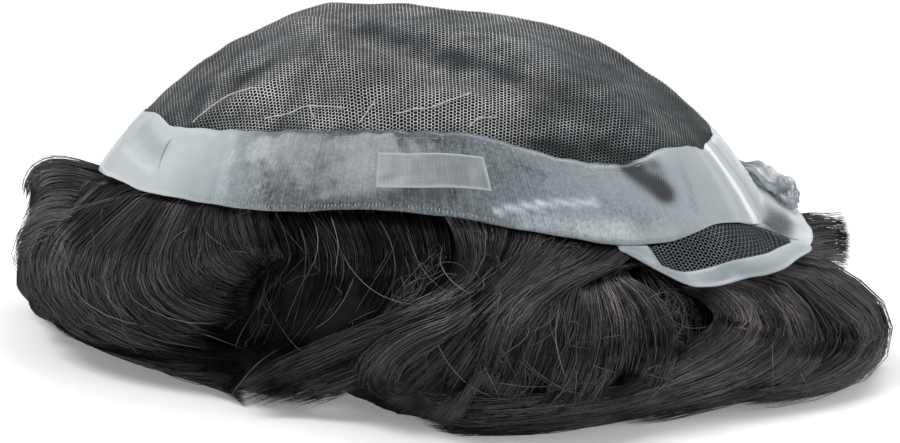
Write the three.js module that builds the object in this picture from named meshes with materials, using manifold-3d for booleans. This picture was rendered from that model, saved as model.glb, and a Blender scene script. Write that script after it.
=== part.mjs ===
// A hairpiece of the toupee kind, lying on its hair with its base turned scalp side up.
// A shallow dome of lace is rimmed by a strip of clear film. At the front the base runs on in a
// small lip, a strip of lace with a film edge of its own, and a crumpled roll of film lies on it.
// The hair hangs from the underside, spreads round the base in curled locks, and is flat where it
// lies on the surface.
// Millimetres. +X is the front, +Z is up, and the origin is on the surface, below the crown.
import * as THREE from "three";
import { mergeVertices } from "three/addons/utils/BufferGeometryUtils.js";
import Module from "manifold-3d";

const wasm = await Module();
wasm.setup();

// The base
const frontReach = 100; // crown to rim in plan, at the front
const backReach = 83; // crown to rim in plan, at the back
const halfWidth = 64; // crown to rim in plan, at each side
const rimHeight = 50; // mean height of the rim above the surface
const crownRise = 45; // crown above the mean rim
const wall = 1; // thickness of the lace and of the film
const gap = 0.3; // clearance between pieces that touch
const bandWidth = 22.5; // mean width of the film round the rim

// The lip beyond the front rim
const lipReach = 13; // how far it stands out beyond the rim in plan
const lipDrop = 12; // how far its outer edge lies below the rim
const rollRadius = 2.4; // of the crumpled roll of film on it

// The bare label on the film
const labelLength = 28;
const labelWidth = 9.5;
const labelThickness = 0.7;
const labelSetDown = 6.5; // from the upper edge of the film

// The hair
const hairSpread = 36; // how far the longest locks reach out beyond the rim
const lockWidth = 27; // of the widest lock
const lockThickness = 17; // of the same lock

// Shape of the dome: the rim is a rounded oval, and the profile is fuller than a circle's
const rimSquareness = 2.35;
const domeFullness = { inner: 2.5, outer: 0.92 };

// Height of the rim and width of the film, by the angle from the front. A lift is a share of the
// crown's rise, and a width a share of the film's mean width.
const rimTable = [
  { at: -180, lift: -0.06, wide: 0.93 },
  { at: -150, lift: 0.07, wide: 0.93 },
  { at: -138, lift: 0.07, wide: 0.85 },
  { at: -127, lift: 0.07, wide: 0.93 },
  { at: -105, lift: 0.07, wide: 0.99 },
  { at: -75, lift: 0.12, wide: 0.97 },
  { at: -55, lift: 0.06, wide: 1.1 },
  { at: -30, lift: -0.09, wide: 1.06 },
  { at: -17, lift: -0.04, wide: 1.06 },
  { at: 0, lift: -0.18, wide: 1.15 },
  { at: 12, lift: -0.14, wide: 1.05 },
  { at: 30, lift: -0.07, wide: 1 },
  { at: 60, lift: 0.03, wide: 1 },
  { at: 90, lift: 0.1, wide: 0.97 },
  { at: 135, lift: 0.05, wide: 0.95 },
];

// Ridges and dents of the dome, each along a line from one place to another. A place is an angle
// from the front and a share of the way from crown to rim. A width is a share of that way too, and
// a lift a share of the crown's rise.
const folds = [
  { fromAt: -144, fromShare: 0.36, toAt: -88, toShare: 0.66, wide: 0.08, lift: 0.05 },
  { fromAt: -93, fromShare: 0.36, toAt: -51, toShare: 0.54, wide: 0.13, lift: -0.055 },
  { fromAt: -134, fromShare: 0.83, toAt: -122, toShare: 0.68, wide: 0.04, lift: 0.02 },
  { fromAt: -76, fromShare: 0.76, toAt: -52, toShare: 0.65, wide: 0.05, lift: 0.025 },
  { fromAt: -30, fromShare: 0.55, toAt: 10, toShare: 0.62, wide: 0.1, lift: -0.02 },
  { fromAt: 60, fromShare: 0.3, toAt: 80, toShare: 0.7, wide: 0.12, lift: -0.035 },
  { fromAt: 150, fromShare: 0.4, toAt: 120, toShare: 0.7, wide: 0.1, lift: 0.03 },
  { fromAt: 6, fromShare: 0.86, toAt: -4, toShare: 1.02, wide: 0.03, lift: 0.04 },
  { fromAt: 24, fromShare: 0.6, toAt: 16, toShare: 0.78, wide: 0.15, lift: 0.035 },
];

// The lip's plan and fall round the front rim, as shares of its reach and of its drop.
const lipTable = [
  { at: -35, out: 0.1, drop: 0.1 },
  { at: -31, out: 0.45, drop: 0.45 },
  { at: -27, out: 0.7, drop: 0.8 },
  { at: -20, out: 0.78, drop: 1 },
  { at: -12, out: 0.86, drop: 0.95 },
  { at: -2, out: 0.97, drop: 0.5 },
  { at: 14, out: 1, drop: 0.7 },
  { at: 21, out: 0.9, drop: 0.45 },
  { at: 27, out: 0.55, drop: 0.2 },
  { at: 33, out: 0.1, drop: 0.1 },
];
const lip = { start: -35, laceStart: -30, laceEnd: 0, end: 33, laceShare: 0.58, bow: 0.08 };

// The roll of film along its run over the lip: an angle from the front, a share of the way out to
// the lip's edge, and its size as a share of the roll's radius.
const rollTable = [
  { at: 14.5, out: 0.62, size: 0.7 },
  { at: 17, out: 0.68, size: 1.1 },
  { at: 20, out: 0.55, size: 1.1 },
  { at: 24, out: 0.3, size: 0.8 },
  { at: 28, out: 0.02, size: 0.4 },
];
const rollLift = 1.25; // height of its middle above the lip, as a share of its size

// The core of the hair round the base: its foot on the surface and its belly half way up, as shares
// of the hair's spread beyond the rim.
const coreTable = [
  { at: -180, foot: 0.15, belly: 0.35 },
  { at: -150, foot: -0.25, belly: 0.05 },
  { at: -125, foot: -0.3, belly: -0.08 },
  { at: -102, foot: -0.55, belly: -0.28 },
  { at: -78, foot: 0, belly: 0 },
  { at: -62, foot: 0.24, belly: 0.18 },
  { at: -50, foot: 0.3, belly: 0.34 },
  { at: -25, foot: 0.06, belly: 0.12 },
  { at: 0, foot: 0.4, belly: 0.5 },
  { at: 20, foot: 0.6, belly: 0.7 },
  { at: 45, foot: 0.5, belly: 0.6 },
  { at: 90, foot: 0.2, belly: 0.4 },
  { at: 135, foot: 0.2, belly: 0.4 },
];

// The side of the core from the middle of the foot up to the rim: weights of the foot's, the
// belly's and the rim's reach, and a height as a share of the rim's.
const coreProfile = [
  { foot: 0, belly: 0, rim: 0, high: -0.05 },
  { foot: 1, belly: 0, rim: 0, high: -0.05 },
  { foot: 0.35, belly: 0.65, rim: 0, high: 0.16 },
  { foot: 0, belly: 1, rim: 0, high: 0.42 },
  { foot: 0, belly: 0.5, rim: 0.5, high: 0.72 },
  { foot: 0, belly: 0, rim: 1, high: 0.9 },
];

// The locks, each from its root under the rim to its tip. The angles are where it leaves the rim
// and how far it turns round the base. Out and end are its reach at the belly and at the tip, as
// shares of the hair's spread, and crest and low the heights of its shoulder and tip, as shares of
// the rim's. Wide and thick are shares of the widest lock's.
const locks = [
  { at: -191, turn: 34, out: 0.84, end: 0.12, crest: 0.5, low: 0.17, wide: 0.95, thick: 1 },
  { at: -182, turn: 45, out: 0.58, end: -0.24, crest: 0.6, low: 0.18, wide: 1, thick: 1 },
  { at: -171, turn: 48, out: 0.38, end: -0.26, crest: 0.62, low: 0.2, wide: 0.95, thick: 0.95 },
  { at: -160, turn: 42, out: 0.26, end: -0.16, crest: 0.64, low: 0.24, wide: 0.85, thick: 0.85 },
  { at: -148, turn: 34, out: 0.16, end: -0.12, crest: 0.68, low: 0.28, wide: 0.8, thick: 0.8 },
  { at: -135, turn: 22, out: 0.1, end: -0.2, crest: 0.7, low: 0.32, wide: 0.75, thick: 0.7 },
  { at: -124, turn: 27, out: -0.06, end: 0.1, crest: 0.3, low: 0.12, wide: 0.8, thick: 0.8 },
  { at: -119, turn: 4, out: -0.04, end: -0.4, crest: 0.68, low: 0.3, wide: 0.7, thick: 0.65 },
  { at: -104, turn: -3, out: -0.02, end: -0.6, crest: 0.68, low: 0.2, wide: 0.7, thick: 0.65 },
  { at: -92, turn: -8, out: 0.06, end: -0.42, crest: 0.68, low: 0.16, wide: 0.75, thick: 0.75 },
  { at: -80, turn: -13, out: 0.14, end: -0.2, crest: 0.68, low: 0.16, wide: 0.85, thick: 0.85 },
  { at: -34, turn: -66, out: 0.34, end: -0.06, crest: 0.76, low: 0.34, wide: 0.75, thick: 0.8 },
  { at: -45, turn: -36, out: 0.44, end: 0.1, crest: 0.72, low: 0.24, wide: 0.8, thick: 0.8 },
  { at: -69, turn: -12, out: 0.32, end: 0.12, crest: 0.66, low: 0.15, wide: 0.9, thick: 0.9 },
  { at: -57, turn: -8, out: 0.58, end: 0.42, crest: 0.66, low: 0.16, wide: 0.95, thick: 1 },
  { at: -45, turn: -8, out: 0.6, end: 0.42, crest: 0.64, low: 0.16, wide: 0.95, thick: 1 },
  { at: -32, turn: -10, out: 0.36, end: 0.1, crest: 0.56, low: 0.17, wide: 0.9, thick: 0.95 },
  { at: -18, turn: -14, out: 0.36, end: 0.06, crest: 0.5, low: 0.17, wide: 0.9, thick: 0.95 },
  { at: -6, turn: -20, out: 0.56, end: 0.2, crest: 0.5, low: 0.17, wide: 0.9, thick: 0.95 },
  { at: 6, turn: -28, out: 0.8, end: 0.24, crest: 0.44, low: 0.15, wide: 0.95, thick: 1 },
  { at: 20, turn: -34, out: 0.84, end: 0.42, crest: 0.32, low: 0.1, wide: 1, thick: 1 },
  { at: 27, turn: -6, out: 0.7, end: 0.85, crest: 0.55, low: 0.54, wide: 0.85, thick: 0.8 },
  { at: 34, turn: -30, out: 0.7, end: 0.72, crest: 0.4, low: 0.15, wide: 0.95, thick: 1 },
  { at: 42, turn: -4, out: 0.84, end: 0.84, crest: 0.52, low: 0.3, wide: 0.85, thick: 1 },
  { at: 54, turn: -16, out: 0.8, end: 0.5, crest: 0.54, low: 0.17, wide: 0.95, thick: 1 },
  { at: 69, turn: -18, out: 0.66, end: 0.32, crest: 0.58, low: 0.17, wide: 1, thick: 1 },
  { at: 85, turn: -14, out: 0.6, end: 0.2, crest: 0.6, low: 0.17, wide: 1, thick: 1 },
  { at: 101, turn: 8, out: 0.58, end: 0.2, crest: 0.6, low: 0.17, wide: 1, thick: 1 },
  { at: 117, turn: 14, out: 0.62, end: 0.26, crest: 0.6, low: 0.17, wide: 1, thick: 1 },
  { at: 132, turn: 18, out: 0.66, end: 0.4, crest: 0.62, low: 0.17, wide: 1, thick: 1 },
  { at: 147, turn: 16, out: 0.66, end: 0.5, crest: 0.66, low: 0.18, wide: 1, thick: 1 },
  { at: 159, turn: 6, out: 0.64, end: 0.56, crest: 0.62, low: 0.3, wide: 0.9, thick: 1 },
  { at: 172, turn: 4, out: 0.8, end: 0.94, crest: 0.72, low: 0.76, wide: 0.85, thick: 1.2 },
];

const degrees = Math.PI / 180;

// Even stops from one value to another, both ends included.
function spread(from, to, parts) {
  return Array.from({ length: parts + 1 }, (_, k) => from + ((to - from) * k) / parts);
}

// A smooth run through four neighbouring values, from the second to the third.
function smooth([a, b, c, d], t) {
  return b + (t / 2) * (c - a + t * (2 * a - 5 * b + 4 * c - d + t * (3 * (b - c) + d - a)));
}

// A smooth closed curve through a table's values, read at an angle in degrees.
function roundTable(table, column, angle) {
  const turn = (((angle - table[0].at) % 360) + 360) % 360;
  let i = table.length - 1;
  while (table[i].at - table[0].at > turn) i--;
  const start = table[i].at - table[0].at;
  const end = i + 1 < table.length ? table[i + 1].at - table[0].at : 360;
  const value = (k) => table[(k + table.length) % table.length][column];
  return smooth([i - 1, i, i + 1, i + 2].map(value), (turn - start) / (end - start));
}

// A smooth open run through a list of values, as t goes from 0 to 1.
function run(values, t) {
  const last = values.length - 1;
  const i = Math.min(Math.floor(t * last), last - 1);
  const value = (k) => values[Math.min(Math.max(k, 0), last)];
  return smooth([i - 1, i, i + 1, i + 2].map(value), t * last - i);
}

// A point by its angle from the front, its distance from the upright through the crown, and height.
function polar(angle, radius, z) {
  return new THREE.Vector3(radius * Math.cos(angle * degrees), radius * Math.sin(angle * degrees), z);
}

function rimRadius(angle) {
  const [c, s] = [Math.cos(angle * degrees), Math.sin(angle * degrees)];
  const reach = c > 0 ? frontReach : backReach;
  const sum = Math.abs(c / reach) ** rimSquareness + Math.abs(s / halfWidth) ** rimSquareness;
  return sum ** (-1 / rimSquareness);
}

const rimZ = (angle) => rimHeight + crownRise * roundTable(rimTable, "lift", angle);

// How far the folds lift a place of the dome, as a share of the crown's rise.
function foldLift(angle, share) {
  const place = (at, part) => new THREE.Vector2(part, 0).rotateAround(new THREE.Vector2(), at * degrees);
  const here = place(angle, share);
  let lift = 0;
  for (const fold of folds) {
    const from = place(fold.fromAt, fold.fromShare);
    const line = place(fold.toAt, fold.toShare).sub(from);
    const along = THREE.MathUtils.clamp(here.clone().sub(from).dot(line) / line.lengthSq(), 0, 1);
    const off = here.distanceTo(from.addScaledVector(line, along)) / fold.wide;
    lift += fold.lift * Math.exp(-off * off);
  }
  return lift;
}

const edgeRun = 0.02;

// A point of the base's upper face: share is 0 at the crown and 1 at the rim, and past the rim the
// face runs straight on.
function basePoint(angle, share) {
  if (share > 1) {
    const slope = basePoint(angle, 1).sub(basePoint(angle, 1 - edgeRun));
    return basePoint(angle, 1).addScaledVector(slope, (share - 1) / edgeRun);
  }
  const fall = 1 - (1 - share ** domeFullness.inner) ** domeFullness.outer;
  const crownZ = rimHeight + crownRise;
  const point = polar(angle, rimRadius(angle) * share, crownZ - (crownZ - rimZ(angle)) * fall);
  const outward = new THREE.Vector3(point.x, point.y, point.z - rimHeight + crownRise / 2).normalize();
  return point.addScaledVector(outward, crownRise * foldLift(angle, share));
}

// The share at which a strip of the base ends whose width is measured from the rim.
const sharesFound = new Map();
function shareOf(angle, width) {
  const key = `${angle} ${width}`;
  if (sharesFound.has(key)) return sharesFound.get(key);
  const stepShare = 0.01;
  let share = 1;
  let left = width;
  let last = basePoint(angle, share);
  while (left > 0) {
    const next = basePoint(angle, share - stepShare);
    const length = next.distanceTo(last);
    share -= stepShare * Math.min(1, left / length);
    left -= length;
    last = next;
  }
  sharesFound.set(key, share);
  return share;
}

const filmWidth = (angle) => bandWidth * roundTable(rimTable, "wide", angle);

// The lace's face: v is 0 at the crown and 1 at its edge.
const lace = (angle, v) => basePoint(angle, v * shareOf(angle, filmWidth(angle) + gap));

// The film's face: v is 0 at its upper edge and 1 at the rim.
function band(angle, v) {
  const top = shareOf(angle, filmWidth(angle));
  return basePoint(angle, top + (1 - top) * v);
}

// The label's place on the film: v is 0 at its upper edge and 1 at its lower edge.
const labelAngle = -67;
function label(angle, v) {
  const fromRim = filmWidth(angle) - labelSetDown - labelWidth * v;
  return basePoint(angle, shareOf(angle, fromRim));
}

// The lip's face: v is 0 at the rim and 1 at its outer edge. The end of its lace is cut on a slant.
const slant = { by: 10, within: 25 };
function lipFace(at, v) {
  const near = Math.max(0, 1 - Math.abs(at - lip.laceEnd) / slant.within);
  const angle = at + slant.by * (v - lip.laceShare) * near;
  const out = gap + lipReach * roundTable(lipTable, "out", angle) * v;
  const drop = gap + lipDrop * roundTable(lipTable, "drop", angle) * (v + lip.bow * Math.sin(Math.PI * v));
  return basePoint(angle, 1).add(polar(angle, out, -drop));
}

// The point a depth below a face that is given over an angle and a share.
const step = { angle: 0.2, share: 0.004 };
function below(face, angle, v, depth) {
  const b = THREE.MathUtils.clamp(v, step.share * 2, 1 - step.share);
  const across = face(angle + step.angle, b).sub(face(angle - step.angle, b));
  const along = face(angle, b + step.share).sub(face(angle, b - step.share));
  return face(angle, v).addScaledVector(along.cross(across).normalize(), -depth);
}

// Collects corners and faces of a closed mesh.
class Skin {
  corners = [];
  faces = [];
  corner(p) {
    this.corners.push(p.x, p.y, p.z);
    return this.corners.length / 3 - 1;
  }
  triangle(a, b, c) {
    if (a !== b && b !== c && c !== a) this.faces.push(a, b, c);
  }
  quad(a, b, c, d) {
    this.triangle(a, b, c);
    this.triangle(a, c, d);
  }
  geometry() {
    const made = new THREE.BufferGeometry();
    made.setAttribute("position", new THREE.Float32BufferAttribute(this.corners, 3));
    made.setIndex(this.faces);
    made.computeVertexNormals();
    return made;
  }
}

// A body between an upper and a lower face, each given over the same stops across and along. A ring
// closes on itself across, and a pole draws the first stop along together in one point.
function wallGeometry({ across, along, upper, lower, ring = false, pole = false }) {
  const skin = new Skin();
  const [columns, rows] = [across.length - 1, along.length - 1];
  const sheet = (face) => {
    const ids = along.map((v, j) => {
      if (pole && j === 0) return new Array(columns + 1).fill(skin.corner(face(across[0], v)));
      const row = across.slice(0, ring ? columns : columns + 1).map((u) => skin.corner(face(u, v)));
      return ring ? [...row, row[0]] : row;
    });
    return (i, j) => ids[j][i];
  };
  const [up, down] = [sheet(upper), sheet(lower)];
  for (let i = 0; i < columns; i++) {
    for (let j = 0; j < rows; j++) {
      skin.quad(up(i, j), up(i, j + 1), up(i + 1, j + 1), up(i + 1, j));
      skin.quad(down(i, j), down(i + 1, j), down(i + 1, j + 1), down(i, j + 1));
    }
    skin.quad(up(i, rows), down(i, rows), down(i + 1, rows), up(i + 1, rows));
    if (!pole) skin.quad(up(i, 0), up(i + 1, 0), down(i + 1, 0), down(i, 0));
  }
  for (let j = 0; j < rows && !ring; j++) {
    skin.quad(up(0, j), down(0, j), down(0, j + 1), up(0, j + 1));
    skin.quad(up(columns, j), up(columns, j + 1), down(columns, j + 1), down(columns, j));
  }
  return skin.geometry();
}

// A wall of a depth under a face.
function sheetUnder(face, depth, options, top = 0) {
  const upper = (u, v) => below(face, u, v, top);
  const lower = (u, v) => below(face, u, v, top + depth);
  return wallGeometry({ upper, lower, ...options });
}

// A closed bar along a path, with an oval section that faces away from the middle of the piece.
function barGeometry({ path, steps, sides, section }) {
  const skin = new Skin();
  const rings = spread(0, 1, steps).map((t) => {
    const middle = path(t);
    const along = path(Math.min(t + step.share, 1)).sub(path(Math.max(t - step.share, 0))).normalize();
    const outward = new THREE.Vector3(middle.x, middle.y, rimHeight / 2).projectOnPlane(along).normalize();
    const side = outward.clone().cross(along);
    const { wide, thick } = section(t);
    return spread(0, 2 * Math.PI, sides).slice(0, sides).map((turn) => {
      const offset = side.clone().multiplyScalar(Math.cos(turn) * wide / 2);
      offset.addScaledVector(outward, Math.sin(turn) * thick / 2);
      return skin.corner(middle.clone().add(offset));
    });
  });
  for (let j = 0; j < steps; j++) {
    for (let i = 0; i < sides; i++) {
      const next = (i + 1) % sides;
      skin.quad(rings[j][i], rings[j][next], rings[j + 1][next], rings[j + 1][i]);
    }
  }
  for (let i = 1; i < sides - 1; i++) {
    skin.triangle(rings[0][0], rings[0][i + 1], rings[0][i]);
    skin.triangle(rings[steps][0], rings[steps][i], rings[steps][i + 1]);
  }
  return skin.geometry();
}

function solid(geometry) {
  const bare = geometry.clone();
  bare.deleteAttribute("normal");
  bare.deleteAttribute("uv");
  const merged = mergeVertices(bare);
  const vertProperties = Float32Array.from(merged.attributes.position.array);
  const triVerts = Uint32Array.from(merged.index.array);
  return new wasm.Manifold(new wasm.Mesh({ numProp: 3, vertProperties, triVerts }));
}

function geometryOf(body) {
  const mesh = body.getMesh();
  const made = new THREE.BufferGeometry();
  made.setAttribute("position", new THREE.BufferAttribute(Float32Array.from(mesh.vertProperties), 3));
  made.setIndex(Array.from(mesh.triVerts));
  made.computeVertexNormals();
  return made;
}

// Stops round the base, closer together where the front rim is pleated, and down its two pieces
const roundStops = [...spread(-180, -20, 20), ...spread(-16, 16, 8), ...spread(20, 180, 20)];
const laceStops = spread(0, 1, 8);
const bandStops = spread(0, 1, 3);

function laceCap() {
  return sheetUnder(lace, wall, { across: roundStops, along: laceStops, ring: true, pole: true });
}

function filmBand() {
  return sheetUnder(band, wall, { across: roundStops, along: bandStops, ring: true });
}

// The gap across the lip's cut, as an angle.
const cutAngle = () => gap / (basePoint(lip.laceStart, 1).length() * degrees);

function frontLace() {
  const across = spread(lip.laceStart + cutAngle(), lip.laceEnd - cutAngle(), 10);
  const along = spread(0, lip.laceShare - gap / lipReach, 3);
  return sheetUnder(lipFace, wall, { across, along });
}

// Stops along the lip, close together at the two cuts of its lace.
function lipStops() {
  const cut = cutAngle();
  return [
    ...spread(lip.start, lip.laceStart - cut, 3),
    ...spread(lip.laceStart, lip.laceEnd, 10),
    ...spread(lip.laceEnd + cut, lip.end, 10),
  ];
}

// The film edge: full width at both ends, and a strip outside the lace between them.
function frontEdge() {
  const inner = (at) => (at >= lip.laceStart && at <= lip.laceEnd ? lip.laceShare : 0);
  const under = (depth) => (at, v) => below(lipFace, at, inner(at) + (1 - inner(at)) * v, depth);
  const [upper, lower] = [under(0), under(wall)];
  return wallGeometry({ upper, lower, across: lipStops(), along: spread(0, 1, 3) });
}

// The crumpled roll lies slantwise over the far part of the lip, up to the rim.
const lumps = { count: 7, height: 0.12 };
const rollFlatness = 1.15;
function rolledEdge() {
  const read = (column, t) => run(rollTable.map((row) => row[column]), t);
  const lump = (t) => 1 + lumps.height * Math.sin(lumps.count * Math.PI * t);
  const size = (t) => rollRadius * read("size", t) * lump(t);
  const raise = (t) => size(t) * rollLift + gap;
  const path = (t) => below(lipFace, read("at", t), read("out", t), -raise(t));
  const section = (t) => ({ wide: 2 * rollFlatness * size(t), thick: 2 * size(t) });
  return barGeometry({ path, steps: 16, sides: 8, section });
}

function blankLabel() {
  const perDegree = label(labelAngle + 0.5, 0.5).distanceTo(label(labelAngle - 0.5, 0.5));
  const half = labelLength / 2 / perDegree;
  const across = spread(labelAngle - half, labelAngle + half, 8);
  return sheetUnder(label, labelThickness, { across, along: spread(0, 1, 2) }, -labelThickness - gap);
}

// The core fills the base from below and stands on the surface. Its own rim keeps inside the base's.
const coreRim = { upper: 0.96, side: 0.94 };
function hairCore() {
  const upper = (angle, v) => below(basePoint, angle, v * coreRim.upper, wall / 2);
  const side = (angle, v) => {
    const mix = (column) => run(coreProfile.map((row) => row[column]), v);
    const reach = (column) => rimRadius(angle) + hairSpread * roundTable(coreTable, column, angle);
    const rim = rimRadius(angle) * coreRim.side;
    const radius = mix("foot") * reach("foot") + mix("belly") * reach("belly") + mix("rim") * rim;
    return polar(angle, radius, rimHeight * mix("high"));
  };
  const rows = coreProfile.length - 1;
  const options = { across: spread(-180, 180, 40), along: spread(0, 1, rows), ring: true, pole: true };
  return wallGeometry({ upper, lower: side, ...options });
}

// A lock's root lies inside the rim and below it, as shares of the rim's radius and height. Its four
// stations are shares of its turn, and its shoulder's and belly's reach and height follow the row.
const lockRoot = { inset: 0.12, drop: 0.16 };
const lockTurns = [0, 0.08, 0.35, 1];
const shoulderReach = 0.7;
const bellyHeight = 1 / 2.3;

// A lock's girth along it: its least share, its swell, where the swell starts and how far it runs
// on a half wave, and how much the tip thins.
const girth = { least: 0.45, swell: 0.55, start: 0.15, run: 0.75, thinning: 0.35 };

function lockGeometry(row) {
  const at = lockTurns.map((share) => row.at + share * row.turn);
  const reach = [shoulderReach * row.out, row.out, row.end].map((x) => x * hairSpread);
  const out = [-lockRoot.inset * rimRadius(row.at), ...reach];
  const falls = [row.crest, (row.crest + row.low) * bellyHeight, row.low].map((x) => x * rimHeight);
  const high = [rimZ(row.at) - lockRoot.drop * rimHeight, ...falls];
  const path = (t) => polar(run(at, t), rimRadius(run(at, t)) + run(out, t), run(high, t));
  const section = (t) => {
    const wave = Math.sin(Math.PI * (girth.start + girth.run * t));
    const swell = (girth.least + girth.swell * wave) * (1 - girth.thinning * t * t);
    return { wide: lockWidth * row.wide * swell, thick: lockThickness * row.thick * swell };
  };
  return barGeometry({ path, steps: 7, sides: 6, section });
}

// What the hair stays clear of: the base with its lip, a gap larger on the underside and at the
// edges, and open above, past all that the locks could reach.
function clearance() {
  const above = -2 * wall - lockThickness / 4;
  const depth = wall + gap - above;
  const base = (angle, v) => (v < 0.5 ? lace(angle, 2 * v) : band(angle, 2 * v - 1));
  const past = gap / bandWidth;
  const bandDown = bandStops.slice(1).map((v) => (1 + v) / 2);
  const down = [...laceStops.map((v) => v / 2), ...bandDown, 1 + past];
  const cap = sheetUnder(base, depth, { across: roundStops, along: down, ring: true, pole: true }, above);
  const margin = gap / lipReach;
  const stops = [lip.start - 2 * cutAngle(), ...lipStops(), lip.end + 2 * cutAngle()];
  const outward = [-margin, ...spread(0, 1, 3), 1 + margin];
  const front = sheetUnder(lipFace, depth, { across: stops, along: outward }, above);
  return solid(cap).add(solid(front));
}

// The half space under the surface that the piece lies on.
function underground() {
  const size = 4 * (frontReach + backReach + hairSpread);
  return solid(new THREE.BoxGeometry(size, size, size).translate(0, 0, -size / 2));
}

function hairMass() {
  let mass = solid(hairCore());
  for (const row of locks) mass = mass.add(solid(lockGeometry(row)));
  const trimmed = mass.subtract(clearance()).subtract(underground());
  const [largest] = trimmed.decompose().sort((a, b) => b.volume() - a.volume());
  return geometryOf(largest);
}

const net = new THREE.MeshStandardMaterial({ color: 0x8a8d8e, roughness: 0.8, metalness: 0 });
const film = new THREE.MeshStandardMaterial({ color: 0xb4bec1, roughness: 0.3, metalness: 0 });
const paper = new THREE.MeshStandardMaterial({ color: 0xa7b0b3, roughness: 0.5, metalness: 0 });
const strands = new THREE.MeshStandardMaterial({ color: 0x1b1a1c, roughness: 0.5, metalness: 0 });

const hairpiece = new THREE.Group();
function add(name, geometry, material) {
  const mesh = new THREE.Mesh(geometry, material);
  mesh.name = name;
  hairpiece.add(mesh);
}
add("lace_cap", laceCap(), net);
add("film_band", filmBand(), film);
add("front_lace", frontLace(), net);
add("front_edge", frontEdge(), film);
add("rolled_edge", rolledEdge(), film);
add("blank_label", blankLabel(), paper);
add("hair", hairMass(), strands);

export default hairpiece;
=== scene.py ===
"""The looks of a hairpiece that lies on its hair, its base of lace and film scalp side up.

The base, the lip and the hair follow the same named sizes and tables as the solids do. Lengths are
in millimetres until a mesh is made, and angles in degrees round the base, from the front.
"""
import math

import bpy
import numpy as np
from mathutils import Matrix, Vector


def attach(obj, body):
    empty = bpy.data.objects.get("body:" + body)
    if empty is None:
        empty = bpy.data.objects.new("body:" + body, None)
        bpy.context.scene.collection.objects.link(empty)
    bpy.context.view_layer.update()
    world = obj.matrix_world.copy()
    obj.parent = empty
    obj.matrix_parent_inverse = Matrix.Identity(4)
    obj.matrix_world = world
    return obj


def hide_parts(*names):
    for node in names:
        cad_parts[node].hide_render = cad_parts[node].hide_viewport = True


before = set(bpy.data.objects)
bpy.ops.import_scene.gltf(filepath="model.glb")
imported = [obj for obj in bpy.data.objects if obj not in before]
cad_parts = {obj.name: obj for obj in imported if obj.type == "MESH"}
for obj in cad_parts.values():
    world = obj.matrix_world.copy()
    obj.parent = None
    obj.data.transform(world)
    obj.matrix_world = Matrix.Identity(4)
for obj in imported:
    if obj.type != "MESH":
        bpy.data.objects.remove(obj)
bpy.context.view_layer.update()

MM = 0.001
BODY = "root"

# Sizes of the base
FRONT_REACH = 100.0
BACK_REACH = 83.0
HALF_WIDTH = 64.0
RIM_HEIGHT = 50.0
CROWN_RISE = 45.0
RIM_SQUARENESS = 2.35
DOME_INNER = 2.5
DOME_OUTER = 0.92
GAP = 0.3
BAND_WIDTH = 22.5
LIP_REACH = 13.0
LIP_DROP = 12.0
ROLL_RADIUS = 2.4
LABEL_LENGTH = 28.0
LABEL_WIDTH = 9.5
LABEL_SET_DOWN = 6.5
LABEL_AT = -67.0

# Sizes of the hair
HAIR_SPREAD = 36.0
LOCK_WIDTH = 27.0
LOCK_THICKNESS = 17.0


def table(columns, rows):
    """A short table as one array a column."""
    return dict(zip(columns.split(), np.array(rows, float).T))


def table_of_rows(columns, rows):
    """A table whose rows are read one at a time."""
    return [dict(zip(columns.split(), row)) for row in rows]


RIM = table("at lift wide", [
    (-180, -0.06, 0.93),
    (-150, 0.07, 0.93),
    (-138, 0.07, 0.85),
    (-127, 0.07, 0.93),
    (-105, 0.07, 0.99),
    (-75, 0.12, 0.97),
    (-55, 0.06, 1.1),
    (-30, -0.09, 1.06),
    (-17, -0.04, 1.06),
    (0, -0.18, 1.15),
    (12, -0.14, 1.05),
    (30, -0.07, 1.0),
    (60, 0.03, 1.0),
    (90, 0.1, 0.97),
    (135, 0.05, 0.95),
])
FOLDS = table("from_at from_share to_at to_share wide lift", [
    (-144, 0.36, -88, 0.66, 0.08, 0.05),
    (-93, 0.36, -51, 0.54, 0.13, -0.055),
    (-134, 0.83, -122, 0.68, 0.04, 0.02),
    (-76, 0.76, -52, 0.65, 0.05, 0.025),
    (-30, 0.55, 10, 0.62, 0.1, -0.02),
    (60, 0.3, 80, 0.7, 0.12, -0.035),
    (150, 0.4, 120, 0.7, 0.1, 0.03),
    (6, 0.86, -4, 1.02, 0.03, 0.04),
    (24, 0.6, 16, 0.78, 0.15, 0.035),
])
LIP = table("at out drop", [
    (-35, 0.1, 0.1),
    (-31, 0.45, 0.45),
    (-27, 0.7, 0.8),
    (-20, 0.78, 1.0),
    (-12, 0.86, 0.95),
    (-2, 0.97, 0.5),
    (14, 1.0, 0.7),
    (21, 0.9, 0.45),
    (27, 0.55, 0.2),
    (33, 0.1, 0.1),
])
LIP_START, LACE_START, LACE_END, LIP_END = -35.0, -30.0, 0.0, 33.0
LACE_SHARE, LIP_BOW = 0.58, 0.08
SLANT_BY, SLANT_WITHIN = 10.0, 25.0
ROLL_AT = (14.5, 17, 20, 24, 28)
ROLL_OUT = (0.62, 0.68, 0.55, 0.3, 0.02)
ROLL_SIZE = (0.7, 1.1, 1.1, 0.8, 0.4)

# The film's lightness and grain by the angle. The lightness is partly painted light and shade
# round the band, partly how much of the dark hair shows through the film.
FILM = table("at tone grain", [
    (-180, 0.6, 0.1),
    (-158, 0.62, 0.08),
    (-135, 0.62, 0.08),
    (-122, 0.42, 0.2),
    (-115, 0.27, 0.7),
    (-104, 0.145, 1.1),
    (-88, 0.06, 1.1),
    (-67, 0.13, 1.0),
    (-50, 0.18, 0.8),
    (-36, 0.28, 0.6),
    (-27, 0.32, 0.4),
    (-19, 0.4, 0.3),
    (-10, 0.48, 0.12),
    (3, 0.62, 0.1),
    (12, 0.76, 0.1),
    (30, 0.55, 0.2),
    (90, 0.4, 0.7),
    (150, 0.5, 0.4),
])

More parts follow.
